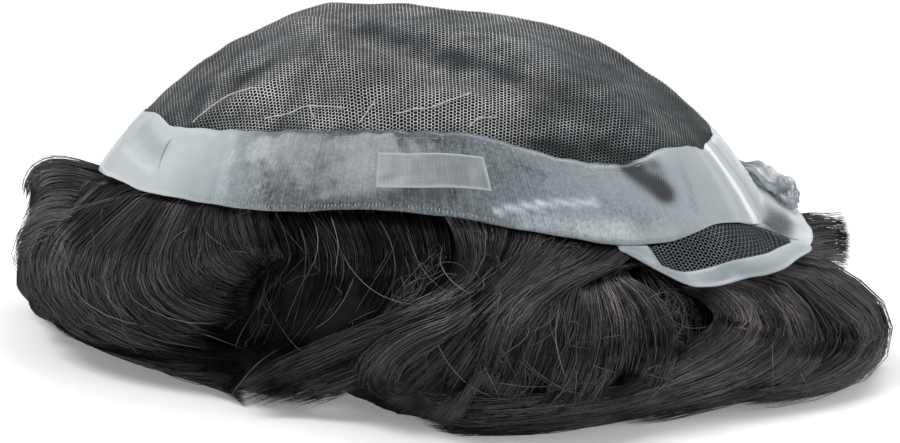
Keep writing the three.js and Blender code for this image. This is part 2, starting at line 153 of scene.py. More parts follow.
# Marks on the film, each along a line from one place to another: angles, and shares of the way down
# the film. Half its width, then what it adds to lightness, to grain, to the net that shows, and to
# the height of the film.
MARKS = table_of_rows("from_at from_down to_at to_down wide light grain net lift", [
    (-150, 0.3, -138, 0.45, 2.9, -0.13, 0.0, 0.0, -0.35),
    (-152, 0.62, -137, 0.74, 0.9, 0.1, 0.0, 0.0, 0.15),
    (-121, 0.1, -117, 0.9, 1.6, 0.07, 0.1, 0.0, 0.1),
    (-95.6, 0.38, -94.6, 0.56, 1.6, -0.09, 0.3, 0.0, 0.0),
    (-110, 0.5, -105, 0.88, 1.3, -0.06, 0.5, 0.0, 0.0),
    (-98, 0.2, -88, 0.3, 2.2, 0.04, 0.0, 0.0, 0.1),
    (-69, 0.16, -58, 0.14, 1.3, -0.05, 0.2, 0.0, 0.0),
    (-75, 0.84, -63, 0.78, 2.0, -0.13, 0.2, 0.0, 0.0),
    (-52.5, 0.38, -52.5, 0.5, 1.1, -0.06, 0.3, 0.0, 0.0),
    (-48, 0.28, -43, 0.34, 1.9, -0.06, 0.3, 0.0, 0.0),
    (-54.5, 0.88, -46, 0.73, 0.8, 0.34, 0.6, 0.0, 0.1),
    (-46, 0.72, -36, 0.56, 0.9, 0.28, 0.6, 0.0, 0.1),
    (-50, 0.95, -33, 0.85, 2.8, 0.15, 0.8, 0.0, 0.0),
    (-26.5, 0.08, -23.4, 0.5, 3.2, -0.34, -0.3, 1.1, 0.0),
    (-21.8, 0.2, -23.6, 0.52, 2.4, -0.12, -0.3, 0.8, 0.0),
    (-27.0, 0.04, -22.0, 0.12, 1.6, -0.16, -0.3, 0.7, 0.0),
    (-34, 0.6, -26, 0.75, 2.8, -0.03, 0.5, 0.0, 0.0),
    (-16.5, 0.2, -20, 0.8, 0.9, -0.06, 0.2, 0.0, 0.0),
    (-6, 0.0, -12, 1.0, 2.4, 0.08, 0.0, 0.0, 0.0),
    # The pleat: a painted highlight along its ridge, painted shadow beside it, the facet beyond painted
    # lighter, and a painted highlight along the facet's outer edge.
    (0.4, -0.04, -5.6, 1.0, 1.5, 0.62, 0.0, 0.0, 0.5),
    (3.6, 0.0, -2.6, 1.0, 0.6, -0.14, 0.0, 0.0, -0.25),
    (6.0, 0.0, 0.4, 1.0, 0.7, 0.2, 0.0, 0.0, 0.1),
    (12.8, 0.66, 6.6, 0.98, 0.7, 0.4, 0.0, 0.0, 0.3),
    (9.5, 0.0, 3.0, 1.0, 1.2, -0.04, 0.0, 0.0, -0.1),
])
# Painted light and shade over the lace's folds and wrinkles, each along a line from one place to another:
# angles and shares of the way to the rim, half its width, how much lighter it is painted (below 0, painted
# shade), and how much hazier.
LACE_MARKS = table_of_rows("from_at from_share to_at to_share wide light haze", [
    (-146.2, 0.515, -126.6, 0.465, 4.4, 0.0, 0.8),
    (-131.8, 0.666, -127.7, 0.593, 2.5, -0.35, 0.0),
    (-146.3, 0.304, -105.0, 0.507, 1.4, 0.25, 0.0),
    (-105.0, 0.507, -104.9, 0.703, 1.1, 0.3, 0.0),
    (-105.0, 0.248, -49.4, 0.484, 2.8, -0.3, 0.2),
    (-97.3, 0.378, -62.2, 0.552, 1.7, 0.2, 0.0),
    (-48.5, 0.465, -35.1, 0.563, 2.2, -0.3, 0.2),
    (-61.9, 0.702, -44.0, 0.684, 5.0, 0.3, -0.2),
    (-42.0, 0.8, -24.0, 0.84, 2.5, -0.36, 0.0),
    (-13.4, 0.465, 4.6, 0.7, 6.1, 0.1, 0.9),
    (6.1, 0.718, 3.9, 0.835, 5.0, -0.1, 0.8),
    (-73.4, 0.223, 4.5, 0.386, 2.8, 0.0, 0.6),
    (-137.9, 0.798, -139.5, 0.731, 2.8, -0.25, 0.3),
    (-89.4, 0.747, -65.5, 0.761, 3.3, 0.15, -0.2),
    (-128.9, 0.809, -103.5, 0.795, 1.4, -0.15, 0.0),
    (-30.3, 0.664, -17.6, 0.766, 3.9, -0.12, -0.2),
    (-134.1, 0.787, -140.3, 0.666, 1.1, 0.2, 0.1),
    (-129.3, 0.769, -130.8, 0.639, 1.4, -0.2, 0.1),
    (-117.4, 0.723, -117.3, 0.552, 1.7, 0.12, 0.0),
])

CRACK = ((-136.4, 0.12), (-137.2, 0.24), (-137, 0.38), (-136.2, 0.52), (-135, 0.68))

# The locks at the back, as they leave the rim, in order round the base. They run into each other.
FLOW = table("at turn out end crest low wide thick", [
    (-191, 34, 0.84, 0.12, 0.5, 0.17, 0.95, 1),
    (-182, 45, 0.58, -0.24, 0.6, 0.18, 1, 1),
    (-100, 0, 0, -0.4, 0.68, 0.2, 0.7, 0.65),
    (-20, -14, 0.36, 0.06, 0.5, 0.17, 0.9, 0.95),
    (6, -28, 0.8, 0.24, 0.44, 0.15, 0.95, 1),
    (20, -34, 0.84, 0.42, 0.32, 0.1, 1, 1),
    (34, -30, 0.7, 0.72, 0.4, 0.15, 0.95, 1),
    (42, -4, 0.84, 0.84, 0.52, 0.3, 0.85, 1),
    (54, -16, 0.8, 0.5, 0.54, 0.17, 0.95, 1),
    (69, -18, 0.66, 0.32, 0.58, 0.17, 1, 1),
    (85, -14, 0.6, 0.2, 0.6, 0.17, 1, 1),
    (101, 8, 0.58, 0.2, 0.6, 0.17, 1, 1),
    (117, 14, 0.62, 0.26, 0.6, 0.17, 1, 1),
    (132, 18, 0.66, 0.4, 0.62, 0.17, 1, 1),
    (147, 16, 0.66, 0.5, 0.66, 0.18, 1, 1),
    (159, 6, 0.64, 0.56, 0.62, 0.3, 0.9, 1),
])

# The sheets of hair on the near side. Each is spanned by lines from root to tip, in order across
# it, and each point of a line is an angle, a reach beyond the rim and a height.
LINES = {
    "left": [
        [(-183.4, 8.7, 42.6), (-171.3, 12, 37.2), (-164, 18.6, 30), (-158.8, 21, 21.4),
         (-151.6, 17.7, 13.8), (-142.9, 11.1, 10.3), (-133, 5.4, 9.3)],
        [(-156.1, -4.6, 51), (-160.4, 5.5, 40.8), (-158, 15.2, 31.6), (-152.6, 18, 22.3),
         (-145.2, 14.5, 14.4), (-135.1, 8.2, 11), (-121.3, 4.7, 11.2)],
        [(-143.2, -3.9, 52.7), (-150.5, 3.8, 41.7), (-150.8, 13.3, 32.6), (-146.8, 15.9, 23.2),
         (-139.9, 12.4, 15.4), (-129.5, 6.6, 11.8), (-114.3, 2.6, 12.2)],
        [(-137.2, -3.8, 52.9), (-142, 4, 42.9), (-143.6, 10.9, 33.6), (-141.3, 12.5, 23.7),
         (-134.9, 9.8, 16.4), (-124.2, 5.5, 12.5), (-108.9, 1.7, 13.4)],
        [(-133.6, -3.6, 53.2), (-138.3, 0.8, 42.8), (-138, 7.6, 33.9), (-134.7, 10.5, 25.8),
         (-128.9, 8.7, 19.2), (-120.2, 4.6, 15.2), (-111, 0.1, 14.5)],
        [(-130.2, -3.6, 53.1), (-131.3, 2, 44.2), (-130.9, 8.1, 35.8), (-128.7, 9.8, 28.3),
         (-124.4, 7.6, 22.5), (-118, 3, 18.5), (-113.5, -1.8, 16.6)],
        [(-126.1, -3.3, 53.1), (-127.8, 0.7, 43.8), (-126.8, 5.1, 36.1), (-124.2, 5.6, 29.8),
         (-119.2, 4.1, 26.1), (-112.1, 3.4, 25.1), (-106.9, 5, 26.1)],
        [(-122.4, -3.4, 53.2), (-124.9, -2.4, 44.7), (-123.3, 0.5, 38.4), (-118.4, 3.4, 34.3),
         (-113.8, 3.5, 31.8), (-110.7, 2.6, 31.2), (-107, 4.5, 32.1)],
        [(-118.2, -3.2, 53.4), (-117.5, -1.7, 46.3), (-114.6, -0.3, 41.2), (-111.3, 0.2, 38.8),
         (-108.2, 1.2, 37.7), (-105.9, 2.6, 37.5), (-104.4, 3.3, 37.5)],
        [(-113.1, -3.2, 53.2), (-111.8, -3.3, 46.9), (-109.4, -2.3, 42.4), (-106.6, -0.1, 40.6),
         (-104.4, 1.6, 39.6), (-103.3, 2.4, 39.1), (-102.5, 2.8, 38.9)],
        [(-107.9, -3, 53.3), (-107, -2.6, 47.8), (-105.2, -1.4, 43.8), (-103.5, 0.1, 42.1),
         (-102.4, 1.1, 41.1), (-101.5, 1.8, 40.5), (-100.7, 2.1, 40.3)],
    ],
    "left_low": [
        [(-149.7, 16.8, 14.9), (-144, 11.2, 10.7), (-136.2, 5.6, 8.5), (-124.7, 2.6, 8.5),
         (-110.3, 1.5, 11.2)],
        [(-148.2, 15, 11.5), (-142.8, 6.9, 7.5), (-135.8, -0.6, 4.6), (-124.1, -1.6, 5.2),
         (-109.9, 2.2, 9.3)],
        [(-141.2, 6.8, 8), (-136.3, -0.2, 4.6), (-127.2, -2.6, 3.4), (-116.6, 0.4, 3.7),
         (-109.6, 2.4, 3.3)],
    ],
    "middle": [
        [(-114.8, -4.9, 52.7), (-110.6, -3.8, 45.4), (-107.4, -1.6, 39.9), (-106.1, 1, 34.3),
         (-106.8, 2, 28), (-109, 1.4, 20.6), (-111.9, -0.1, 13.2)],
        [(-110.9, -4.8, 52.9), (-107, -3.6, 45.6), (-104.3, -1.4, 40.3), (-104, 1.3, 34.6),
         (-105.4, 2.4, 28.3), (-108, 1.8, 20.8), (-111.2, 0.3, 12.9)],
        [(-105.7, -4.8, 52.9), (-102.1, -4.1, 46.8), (-99.8, -2.2, 41.1), (-100, 0.7, 35.4),
         (-102, 2.7, 28.8), (-105.2, 2.2, 21.3), (-110.1, -0.3, 12.9)],
        [(-99.7, -4.7, 53.2), (-95.9, -3.2, 47.5), (-93.3, -0.2, 41.7), (-93, 3.2, 35.5),
         (-95, 4.8, 28.6), (-99.1, 3.4, 20.8), (-105.7, -0.2, 11.9)],
        [(-94.1, -4.7, 53.6), (-89.9, -2.8, 47.6), (-87.2, 0.6, 41.3), (-87.6, 4, 35.4),
         (-90.6, 5.6, 28.2), (-95.5, 3.9, 20.3), (-102.7, -0.1, 11.2)],
        [(-88.4, -4.7, 54.3), (-84.3, -1.8, 48.3), (-82.3, 2.1, 42.1), (-82.9, 5.6, 36.3),
         (-86.1, 6, 28.8), (-93.1, -0.8, 18.6), (-108.1, -14.9, 6.4)],
        [(-83.3, -4.7, 54.6), (-79.1, -2.3, 48.2), (-77.5, 1.4, 42.3), (-78.3, 5.3, 36.6),
         (-81.3, 7.5, 30.2), (-86.9, 6.9, 22.1), (-95, 3.5, 13.8)],
        [(-78.3, -4.8, 55), (-74.9, -1.7, 48.7), (-73.6, 3, 43.5), (-74.8, 7.5, 38.3),
         (-77.1, 9.1, 32.6), (-82, 8.2, 25.1), (-89.3, 5.9, 17.3)],
        [(-73.5, -4.8, 55), (-71.1, -1.3, 49), (-70.4, 3.7, 43.4), (-72.1, 8.4, 38.4),
         (-74.8, 10.2, 33.6), (-79.5, 9.8, 27.4), (-85.3, 8.8, 20.7)],
        [(-68.9, -5, 54.7), (-67.1, -1.6, 48.4), (-67.2, 3.3, 42.9), (-69.9, 8.5, 38.1),
         (-73.3, 11.4, 34.1), (-77, 11.5, 29.1), (-81.9, 9.8, 23.5)],
        [(-64.5, -5.1, 54.1), (-63.6, -2.7, 48.3), (-64.5, 2, 42.7), (-67.6, 7.7, 38),
         (-71.5, 11.4, 34.2), (-75.2, 11.9, 29.9), (-79.5, 9.6, 25.2)],
    ],
    "s_lock": [
        [(-63.7, -2, 54.7), (-61.8, 3.7, 47.9), (-63.1, 9.6, 42.1), (-68.3, 13, 37),
         (-77.3, 13.1, 31),
         (-87.7, 9.9, 23), (-99.8, 5.5, 14), (-113.3, 3.7, 4.4)],
        [(-58.5, -2.2, 54), (-58.6, 3.9, 48.1), (-61.1, 10.8, 42.3), (-67.3, 14.6, 36.1),
         (-76.2, 14, 29.5), (-87.7, 10.1, 20.5), (-100.8, 5.4, 11.3), (-114.5, 2.3, 1.9)],
        [(-53.6, -2.3, 53.1), (-55.8, 5, 47.1), (-60.4, 12.4, 41.2), (-66.8, 15.7, 34.9),
         (-75.5, 14.4, 27.5), (-87, 9.9, 18.3), (-99, 7.8, 9.8), (-108.3, 10.7, 4.1)],
        [(-48.9, -2.6, 51.8), (-52.6, 4, 46), (-58.7, 12.7, 40.4), (-65.2, 16.1, 33.6),
         (-73.8, 14, 25.5), (-85, 8.8, 16.1), (-96.4, 6.8, 8.8), (-104.8, 10.8, 3.9)],
        [(-45.8, -2.6, 51), (-51, 5.2, 45.9), (-57.7, 14.6, 40.3), (-64.3, 19.1, 33.1),
         (-72, 16.8, 24.4), (-81.9, 11.6, 15.7), (-92.2, 7.2, 8.4), (-103.2, 5, 2.4)],
        [(-44.8, -2.7, 50.7), (-50.7, 6.2, 45.5), (-57.5, 15.5, 39.8), (-63.8, 19.9, 32.4),
         (-71.3, 17.7, 23.4), (-80.2, 11.7, 14.5), (-89.8, 7.3, 7.5), (-97.9, 6.9, 4)],
    ],
    "s_low": [
        [(-48.7, -3.2, 51.6), (-52, 2.6, 46.4), (-57.3, 10.5, 41.5), (-63, 15.1, 35),
         (-68.4, 16, 26.7),
         (-73.7, 15, 18), (-79.8, 11.3, 9.9)],
        [(-44.6, -3.2, 50.5), (-49.7, 5, 45.8), (-56.1, 13.3, 41.2), (-61.8, 18.6, 35),
         (-66.5, 18.7, 25.5), (-71.2, 15.8, 15.3), (-77.2, 11.6, 7)],
        [(-40.2, -3.7, 49.2), (-46.1, 4.2, 45.3), (-53.5, 13.2, 41.2), (-59.8, 19.2, 34.9),
         (-64.3, 18.6, 24.7), (-68.9, 12.2, 12.3), (-75.1, 2.4, 1.3)],
        [(-36.1, -3.7, 47.8), (-42, 3.3, 44.5), (-50.1, 12, 42.1), (-57.2, 19.5, 36.8),
         (-62.3, 22.1, 26.7), (-66.6, 16.5, 13.5), (-71.8, 5.1, 1)],
        [(-32.1, -4.6, 46.2), (-39.9, 6.5, 44.4), (-47.3, 13.4, 42.7), (-54.3, 18.9, 38),
         (-60, 23.8, 28.2), (-64.6, 25.8, 16.3), (-68.7, 26.1, 7)],
        [(-29.2, -4.4, 44.7), (-37.6, 7.5, 43.6), (-45.1, 14.5, 42.1), (-51.9, 19.4, 37.5),
         (-57.5, 23.5, 27.9), (-61.4, 20.9, 15.3), (-63.7, 8.4, 2)],
    ],
    "small_curl": [
        [(-58.3, 11.9, 42.4), (-65.5, 17, 35.4), (-72.6, 16.3, 31), (-79.2, 14, 24.5),
         (-82.5, 11.3, 17.2), (-82.4, 10.7, 11.7), (-79, 12.7, 9.9)],
        [(-58.2, 14.9, 40.7), (-65.8, 18.9, 32.8), (-72, 17.9, 28.5), (-76.9, 16.3, 22.6),
         (-79.1, 14.4, 16.6), (-78.3, 14.2, 12.9), (-75.5, 15.7, 12.3)],
        [(-58.3, 16.8, 38.7), (-65.8, 20.3, 30.1), (-70.6, 18.7, 25.8), (-74.1, 18, 21.3),
         (-75.7, 17.4, 16.8), (-75.2, 17.2, 13.8), (-73.3, 17.7, 13.1)],
    ],
    "clump": [
        [(-28.8, -2.6, 40.8), (-37.8, 7.1, 43.3), (-49.7, 12.5, 41.9), (-55.1, 17.2, 39.2),
         (-58.9, 22.1, 34.4), (-60.5, 25.8, 28.8), (-61.6, 27.2, 23.2), (-62.7, 26.8, 17.3)],
        [(-28.7, -2.6, 40.7), (-37.2, 6.5, 43.1), (-47.9, 12.1, 41.6), (-52.7, 17.1, 38.4),
         (-56.2, 21.7, 33.2), (-58.1, 25, 27.5), (-59.4, 26.3, 21.6), (-61.3, 26.6, 15.2)],
        [(-28.6, -2.5, 40.5), (-37.3, 7, 43.3), (-46.7, 13.4, 41.6), (-50.5, 18.2, 37.3),
         (-53.1, 21.2, 31.4), (-54.6, 23.4, 25.5), (-56.3, 24.9, 19), (-58.6, 25.4, 12.7)],
        [(-28.4, -2.5, 40.4), (-37, 7.1, 43), (-45.8, 13.8, 41.6), (-48.7, 19.9, 36.9),
         (-50.7, 23.6, 30.8), (-51.7, 24.3, 24.1), (-52.8, 22.5, 16.7), (-54.6, 19.3, 9.1)],
        [(-28.2, -2.5, 40.4), (-35.1, 3, 41.9), (-43.8, 11.2, 40.9), (-46.5, 20.3, 36.1),
         (-48.6, 25.7, 30.5), (-49.8, 27.9, 24.1), (-50.8, 26.6, 16.8), (-52.3, 22.9, 9.6)],
        [(-28.1, -2.4, 40.2), (-34.8, 2.9, 41.9), (-42.4, 10.4, 41), (-43.8, 18.7, 36),
         (-45, 23.8, 29.8), (-46.2, 26.5, 23.4), (-47.5, 26.8, 16.5), (-49.4, 25.3, 10.2)],
        [(-28, -2.3, 40.1), (-34.5, 2.6, 41.8), (-40.2, 8.8, 40.5), (-39.5, 13.8, 34.9),
         (-39.3, 15.4, 27.4), (-39.4, 15.4, 20.1), (-39.9, 13, 12.2), (-40.8, 8.5, 4.9)],
        [(-27.8, -2.3, 40.1), (-34.2, 2.6, 41.5), (-38.6, 8.4, 40.7), (-37, 14, 35.9),
         (-36.7, 17.6, 28.9), (-37.4, 19, 21.3), (-38.1, 16.5, 13.4), (-38.5, 10.8, 5.8)],
        [(-27.7, -2.2, 39.8), (-33.5, 1.7, 41.3), (-36.2, 6.9, 40), (-33.9, 12.3, 35.3),
         (-33.6, 16.5, 28.8), (-34.6, 18.8, 22.2), (-35.8, 17.6, 14.9), (-36.8, 14.1, 8)],
    ],
    "bottom": [
        [(-27.2, 12.1, 13.2), (-40.4, 18.6, 14.3), (-51.7, 22.8, 14.3), (-62.4, 20.6, 12.4),
         (-72.3, 13.7, 11.3)],
        [(-26.7, 13, 9.5), (-38.8, 15.6, 9.5), (-50.7, 18.8, 9.3), (-61.7, 15.4, 6.8),
         (-72.5, 1.8, 4)],
        [(-26.2, 10.2, 5.5), (-35.8, 6.8, 3.9), (-48.7, 11.4, 3.4), (-59.9, 8.5, 1.2),
         (-70, 3.2, 1)],
        [(-23, 1.6, 1), (-35, 3.3, 1), (-46.8, 7.3, 1), (-57.9, 9.3, 1), (-66.8, 10.1, 1.1)],
    ],
    "right": [
        [(-24.6, 2.8, 34.2), (-24, 8.7, 31.8), (-23.8, 12.4, 27.8), (-25.2, 12, 23.2),
         (-30.6, 13.6, 20), (-37.9, 18.1, 16.7), (-44.2, 21.9, 13.4)],
        [(-23.4, 6, 34.5), (-22.7, 12.5, 31.1), (-23.2, 15.9, 26.5), (-25.4, 15, 21.8),
         (-30.8, 14.3, 17.4), (-38.1, 17.3, 13.6), (-45.3, 23.1, 11.8)],
        [(-21.8, 8.8, 35), (-20.2, 15.1, 29.5), (-21.3, 18.7, 23.8), (-24.9, 17.8, 18.8),
         (-30.9, 16, 14.2), (-38.9, 18.1, 11.5), (-47.7, 26.9, 11.6)],
        [(-17.1, 7.2, 34.1), (-13.6, 13, 25.4), (-16, 17.7, 18.8), (-21.7, 17.6, 14.3),
         (-28.1, 13.8, 9.9), (-35.2, 10.5, 6.8), (-42.2, 9.1, 4.1)],
        [(-12.1, 6.2, 32.6), (-13.2, 18.6, 25.4), (-15.3, 23.8, 17.6), (-19, 20.8, 11.5),
         (-24.6, 13.7, 7.1), (-31.5, 7.9, 4.2), (-40.3, 8, 2.5)],
        [(-11.2, 8.6, 33.4), (-12.2, 20.3, 26.2), (-13.6, 25.8, 17), (-16.5, 23.1, 9.9),
         (-21.4, 14.8, 5.5), (-27.9, 7.2, 2.6), (-36.6, 6.2, 1.3)],
    ],
    "far_right": [
        [(-10.1, 10.4, 34.2), (-8.6, 21.1, 25.8), (-7.6, 29, 18.5), (-9.6, 29.2, 13.2),
         (-14.1, 24.5, 9.7), (-19.8, 19.3, 8.2), (-25.4, 14.9, 7.4)],
        [(-8.3, 11.4, 34.5), (-4.4, 22.2, 25.4), (-4.7, 31.6, 18.1), (-7.6, 32.1, 11.7),
         (-12.3, 26.2, 7.5), (-18, 19, 6.1), (-24.1, 13.1, 5.4)],
        [(0.2, 9.9, 31.6), (-1.3, 24.3, 26.3), (-2.3, 33.6, 18.5), (-4.7, 34.2, 9.9),
         (-9.5, 27.4, 5),
         (-15.8, 19.1, 4.4), (-22.8, 13.2, 4.4)],
        [(1.9, 11.1, 33.3), (2.2, 25.6, 26.5), (5.3, 33.8, 16), (3.6, 34.6, 6.1), (-4.5, 28.3, 2.4),
         (-13.1, 19.9, 2.9), (-20, 12.8, 2.6)],
    ],
    "blunt_end": [
        [(6.9, 1.3, 39.8), (20, 15.3, 33.8), (23.3, 26.3, 31.7), (22.9, 33.7, 31.3)],
        [(3.6, 3.1, 38.1), (16.2, 14.1, 32.3), (21, 25.2, 29.7), (21.1, 32.6, 29.2)],
        [(0.5, 5.4, 36.4), (12.6, 13.4, 30.8), (19.5, 25, 27.1), (20.4, 32.3, 26.1)],
        [(-0.3, 7.3, 34.2), (8.6, 13.9, 29.7), (17.1, 23.8, 24.8), (20.6, 32.7, 22.1)],
        [(-1.1, 8.1, 32.4), (1, 14.7, 31), (5, 19.3, 28.7), (15.1, 27.3, 22.4)],
    ],
    "left_lobe": [
        [(-183.6, 2.6, 42.4), (-184.7, 16.7, 44.7), (-184.8, 25.9, 44.5), (-184.3, 31.4, 41.6),
         (-183.4, 33, 37.4), (-182.5, 32.6, 33.4)],
        [(-183.2, 2.8, 41.3), (-184.2, 16.9, 43.1), (-184.2, 25.1, 42.8), (-183.6, 29.8, 40),
         (-183, 31.6, 35.9), (-182.8, 32.3, 31.2)],
        [(-177.7, 2.4, 41.5), (-181.7, 15.6, 41.9), (-183.2, 24.2, 40.6), (-183.2, 28.9, 37.5),
         (-183, 31.1, 33.5), (-183.1, 32.7, 29.1)],
        [(-176.2, 2.8, 39.7), (-180.4, 15.6, 39.7), (-182.2, 23.4, 37.8), (-182.7, 28.2, 34.8),
         (-182.7, 30.6, 31), (-182.4, 32.4, 27.7)],
        [(-166.1, 3.7, 41.6), (-175.1, 13.4, 39.1), (-180.5, 22.8, 35.6), (-182.7, 28.6, 31.8),
         (-183, 31.7, 28.4), (-182.8, 33.5, 25.6)],
        [(-163.9, 5.1, 39.6), (-168, 11.3, 39.1), (-171.2, 17.2, 36.6), (-173.3, 21.9, 33.5),
         (-176.1, 26.9, 29.5), (-181, 33.8, 24.1)],
        [(-155.4, 7.8, 40.3), (-163.2, 12, 37.9), (-168.3, 17.2, 34.8), (-170.3, 21.6, 32),
         (-170.5, 24.6, 29.8), (-169.9, 26.7, 27.4)],
        [(-160.1, 10.1, 35.6), (-161.7, 13.6, 35.2), (-163.9, 17.3, 33.1), (-166.5, 20.7, 30.4),
         (-167.9, 24.1, 27.9), (-168, 26, 25.5)],
        [(-158.6, 13, 33.5), (-160.1, 15.9, 32.6), (-162, 18.2, 30.3), (-164.2, 20.8, 27.8),
         (-165.4, 22.9, 25.7), (-165.5, 24.1, 24.2)],
    ],
    "between": [
        [(-8.3, 8.2, 32.5), (-9.2, 18.5, 26.3), (-9.6, 24.6, 19.4), (-11, 24.8, 13.3),
         (-14.7, 20.5, 8.3), (-19.8, 14.2, 5.5)],
        [(-7.8, 9.4, 32.9), (-7, 20.4, 25.3), (-6.6, 26.6, 18.3), (-8.5, 26.7, 11.9),
         (-12.6, 21.7, 7),
         (-18.1, 14.6, 4.8)],
        [(-6.3, 10.2, 33.1), (-3.1, 21.5, 23.5), (-4, 28.8, 16.9), (-6.8, 29.4, 11.6),
         (-10.9, 23.5, 6.5), (-16.3, 15.6, 4.1)],
    ],
    "under_lip": [
        [(-30.1, -7.3, 43.8), (-31.5, 0.7, 38.9), (-33.5, 9.3, 33.9), (-35.4, 15.1, 28.4),
         (-37.6, 17.1, 22.1)],
        [(-29.2, -5.5, 41.3), (-29.4, 2.3, 36.9), (-30.5, 9.6, 31.8), (-32.1, 14.9, 26.5),
         (-35.1, 17.9, 21.3)],
        [(-28.3, -2.6, 38.5), (-27.8, 3.7, 33.7), (-26.9, 6.8, 28.2), (-28.3, 11, 23.5),
         (-32.3, 16.4, 19.8)],
        [(-25.2, -2.4, 35.3), (-23, 0.8, 30.5), (-22.1, 3.7, 25.4), (-24.5, 7.1, 21.4),
         (-31.5, 16, 20.1)],
    ],
}
STRAY_LINES = [
    [(-135.6, -2.9, 52.6), (-146.1, -1.3, 48.7), (-154, 3.8, 44.4), (-158, 11.1, 40.1),
     (-158, 17.1, 34.4), (-155.7, 20.1, 28.7)],
    [(-132.5, -2.6, 53.9), (-142.4, -2.2, 49.9), (-150.5, 1.3, 46.1), (-155.5, 7.2, 42.1),
     (-158.9, 12.8, 37.2)],
    [(-147.7, 15.1, 29.7), (-141.8, 14, 23.7), (-135, 11.5, 20.4), (-127.7, 8.1, 19.6),
     (-120, 4.2, 19.3), (-112.2, 1.6, 16.3), (-106.5, 0.9, 14.3)],
    [(-112, 2.9, 15.1), (-110.3, 3.2, 20), (-106.7, 4.4, 26.3), (-102.7, 4.9, 33.3),
     (-99.4, 4.2, 39.1)],
    [(-103.5, 5.6, 34.7), (-101.7, 6.4, 29.3), (-98.6, 6.7, 23.4), (-95.2, 6.6, 19),
     (-89.7, 6, 16.2)],
    [(-94.7, -1.8, 51.7), (-92.8, 0.4, 47.1), (-92.6, 3.4, 42.2), (-94.6, 6.5, 36.5),
     (-96.7, 7.4, 30.2), (-99, 6.2, 23.7)],
    [(-112.8, 3.2, 3), (-109.2, 3.8, 8.7), (-104.5, 4.7, 14.6), (-97.8, 6.6, 20.3)],
    [(-83, 9, 40.4), (-84.7, 10.2, 34.9), (-87.5, 10.5, 29.7), (-91.3, 10.1, 25.8)],
    [(-124.5, -2.5, 49), (-125.1, -2, 45.7), (-126.7, 1.2, 43.3), (-126.8, 3.9, 39.4),
     (-125.8, 4.7, 34.4)],
    [(-122.6, -2.8, 46.6), (-121.4, -0.5, 41.9), (-120.7, 2.6, 37.8), (-118.8, 4.9, 33.2)],
    [(-133.5, 11.2, 25.8), (-133.1, 10.7, 19.2), (-132.4, 8.2, 11.9), (-131.9, 3.7, 7.4)],
    [(-87.5, 1.2, 45.2), (-83.8, 6.6, 41.2), (-79.3, 10.8, 37.6), (-74.8, 13.6, 35.9),
     (-69.9, 15.2, 35.4)],
    [(-72.9, -1.8, 51.1), (-71.6, 3.4, 47.4), (-69.9, 8.4, 43.2), (-66.8, 13.6, 39.5),
     (-63.2, 19.2, 38.9)],
    [(-64.7, -0.5, 47.8), (-66.3, 6, 44.3), (-65, 12.6, 41.3), (-62.4, 20, 39.5)],
    [(-68, 7.9, 43.2), (-65.4, 7.6, 44.8), (-63, 10.2, 44.6), (-62.1, 15.5, 42.5)],
    [(-69.4, 12.5, 39.8), (-66.1, 10.9, 42.6), (-63.5, 11.8, 42.4)],
    [(-50.6, -0.5, 45), (-56.7, 12.9, 40.3), (-59.5, 22.6, 37)],
    [(-62.3, 29.8, 24.9), (-59.1, 22.8, 14.4), (-55.9, 12.5, 2.1)],
    [(-60.2, 27.2, 31.2), (-57.5, 25.5, 21.5), (-54.4, 22.3, 11.1)],
    [(-68.7, 17.7, 30), (-66.8, 20.9, 23.4), (-63.6, 24.8, 18.1), (-59.8, 27.9, 15.6)],
    [(-37.1, 18.6, 31.2), (-36.8, 19.4, 23.6), (-36.1, 15.6, 14.1), (-34.4, 6.6, 4)],
    [(-19.1, 19, 20.6), (-19.7, 20.7, 8.4)],
    [(-17.1, 24.3, 12.5), (-12.7, 22.7, 3.3)],
    [(-15.7, 25.7, 12), (-14.8, 21.6, 3.8)],
    [(-34.6, 12.7, 36.2), (-33.4, 14.6, 31.2), (-30.2, 14.1, 27.2), (-25.1, 11.3, 25.7)],
    [(-25, 4, 32.2), (-30.9, 11.6, 31), (-35.2, 16.3, 31.4), (-37.7, 19.6, 29.5)],
    [(-30.4, 7.6, 36.3), (-29.2, 10.3, 31.9), (-31.9, 15.4, 27.4), (-36.5, 21.5, 24.6)],
    [(-36.5, 14.4, 35.8), (-31.5, 8.7, 35.7), (-27.1, 6.1, 33.2), (-24.7, 6.7, 28.9)],
    [(-50.2, 20.5, 38.7), (-51.9, 25.3, 29.9), (-51.5, 29.5, 21)],
    [(-43.9, 17.4, 40.5), (-44.1, 23.6, 31.4), (-45.9, 27.5, 20.9), (-48.1, 28.4, 14.2)],
    [(-39.3, 20.6, 19.1), (-33.8, 18.8, 15.5), (-27.7, 16.7, 15.5)],
    [(-37.5, 19.4, 11.7), (-35.4, 20.2, 16.2), (-34.4, 20.2, 22.3)],
    [(-11.1, 22.3, 29.4), (-9.8, 26.8, 22.8), (-11.3, 27.3, 16.7), (-14.5, 25.9, 13)],
    [(-46.9, -2.3, 46.6), (-54, 8.3, 43.2), (-60.7, 14.4, 39.7), (-69, 16.4, 36.3),
     (-75.4, 16.9, 33)],
    [(-39.3, -2.3, 45.3), (-48.5, 9.9, 42.5), (-56, 18.8, 39.4), (-61.5, 25.9, 34.9)],
    [(-162.6, 21.6, 24.6), (-154, 18.2, 18), (-146.4, 14.9, 13.4), (-139.7, 11.3, 11.4)],
    [(-181.7, 8.8, 40.9), (-172.4, 11, 39.2), (-163.2, 12.8, 38)],
    [(-90.5, -1.6, 53.1), (-87.8, 1.5, 46.3), (-87.7, 6.1, 39.2)],
    [(-79.5, -1.6, 53.9), (-75.7, 3, 47.1), (-75.2, 8.2, 39.7), (-78.5, 12.5, 34)],
]
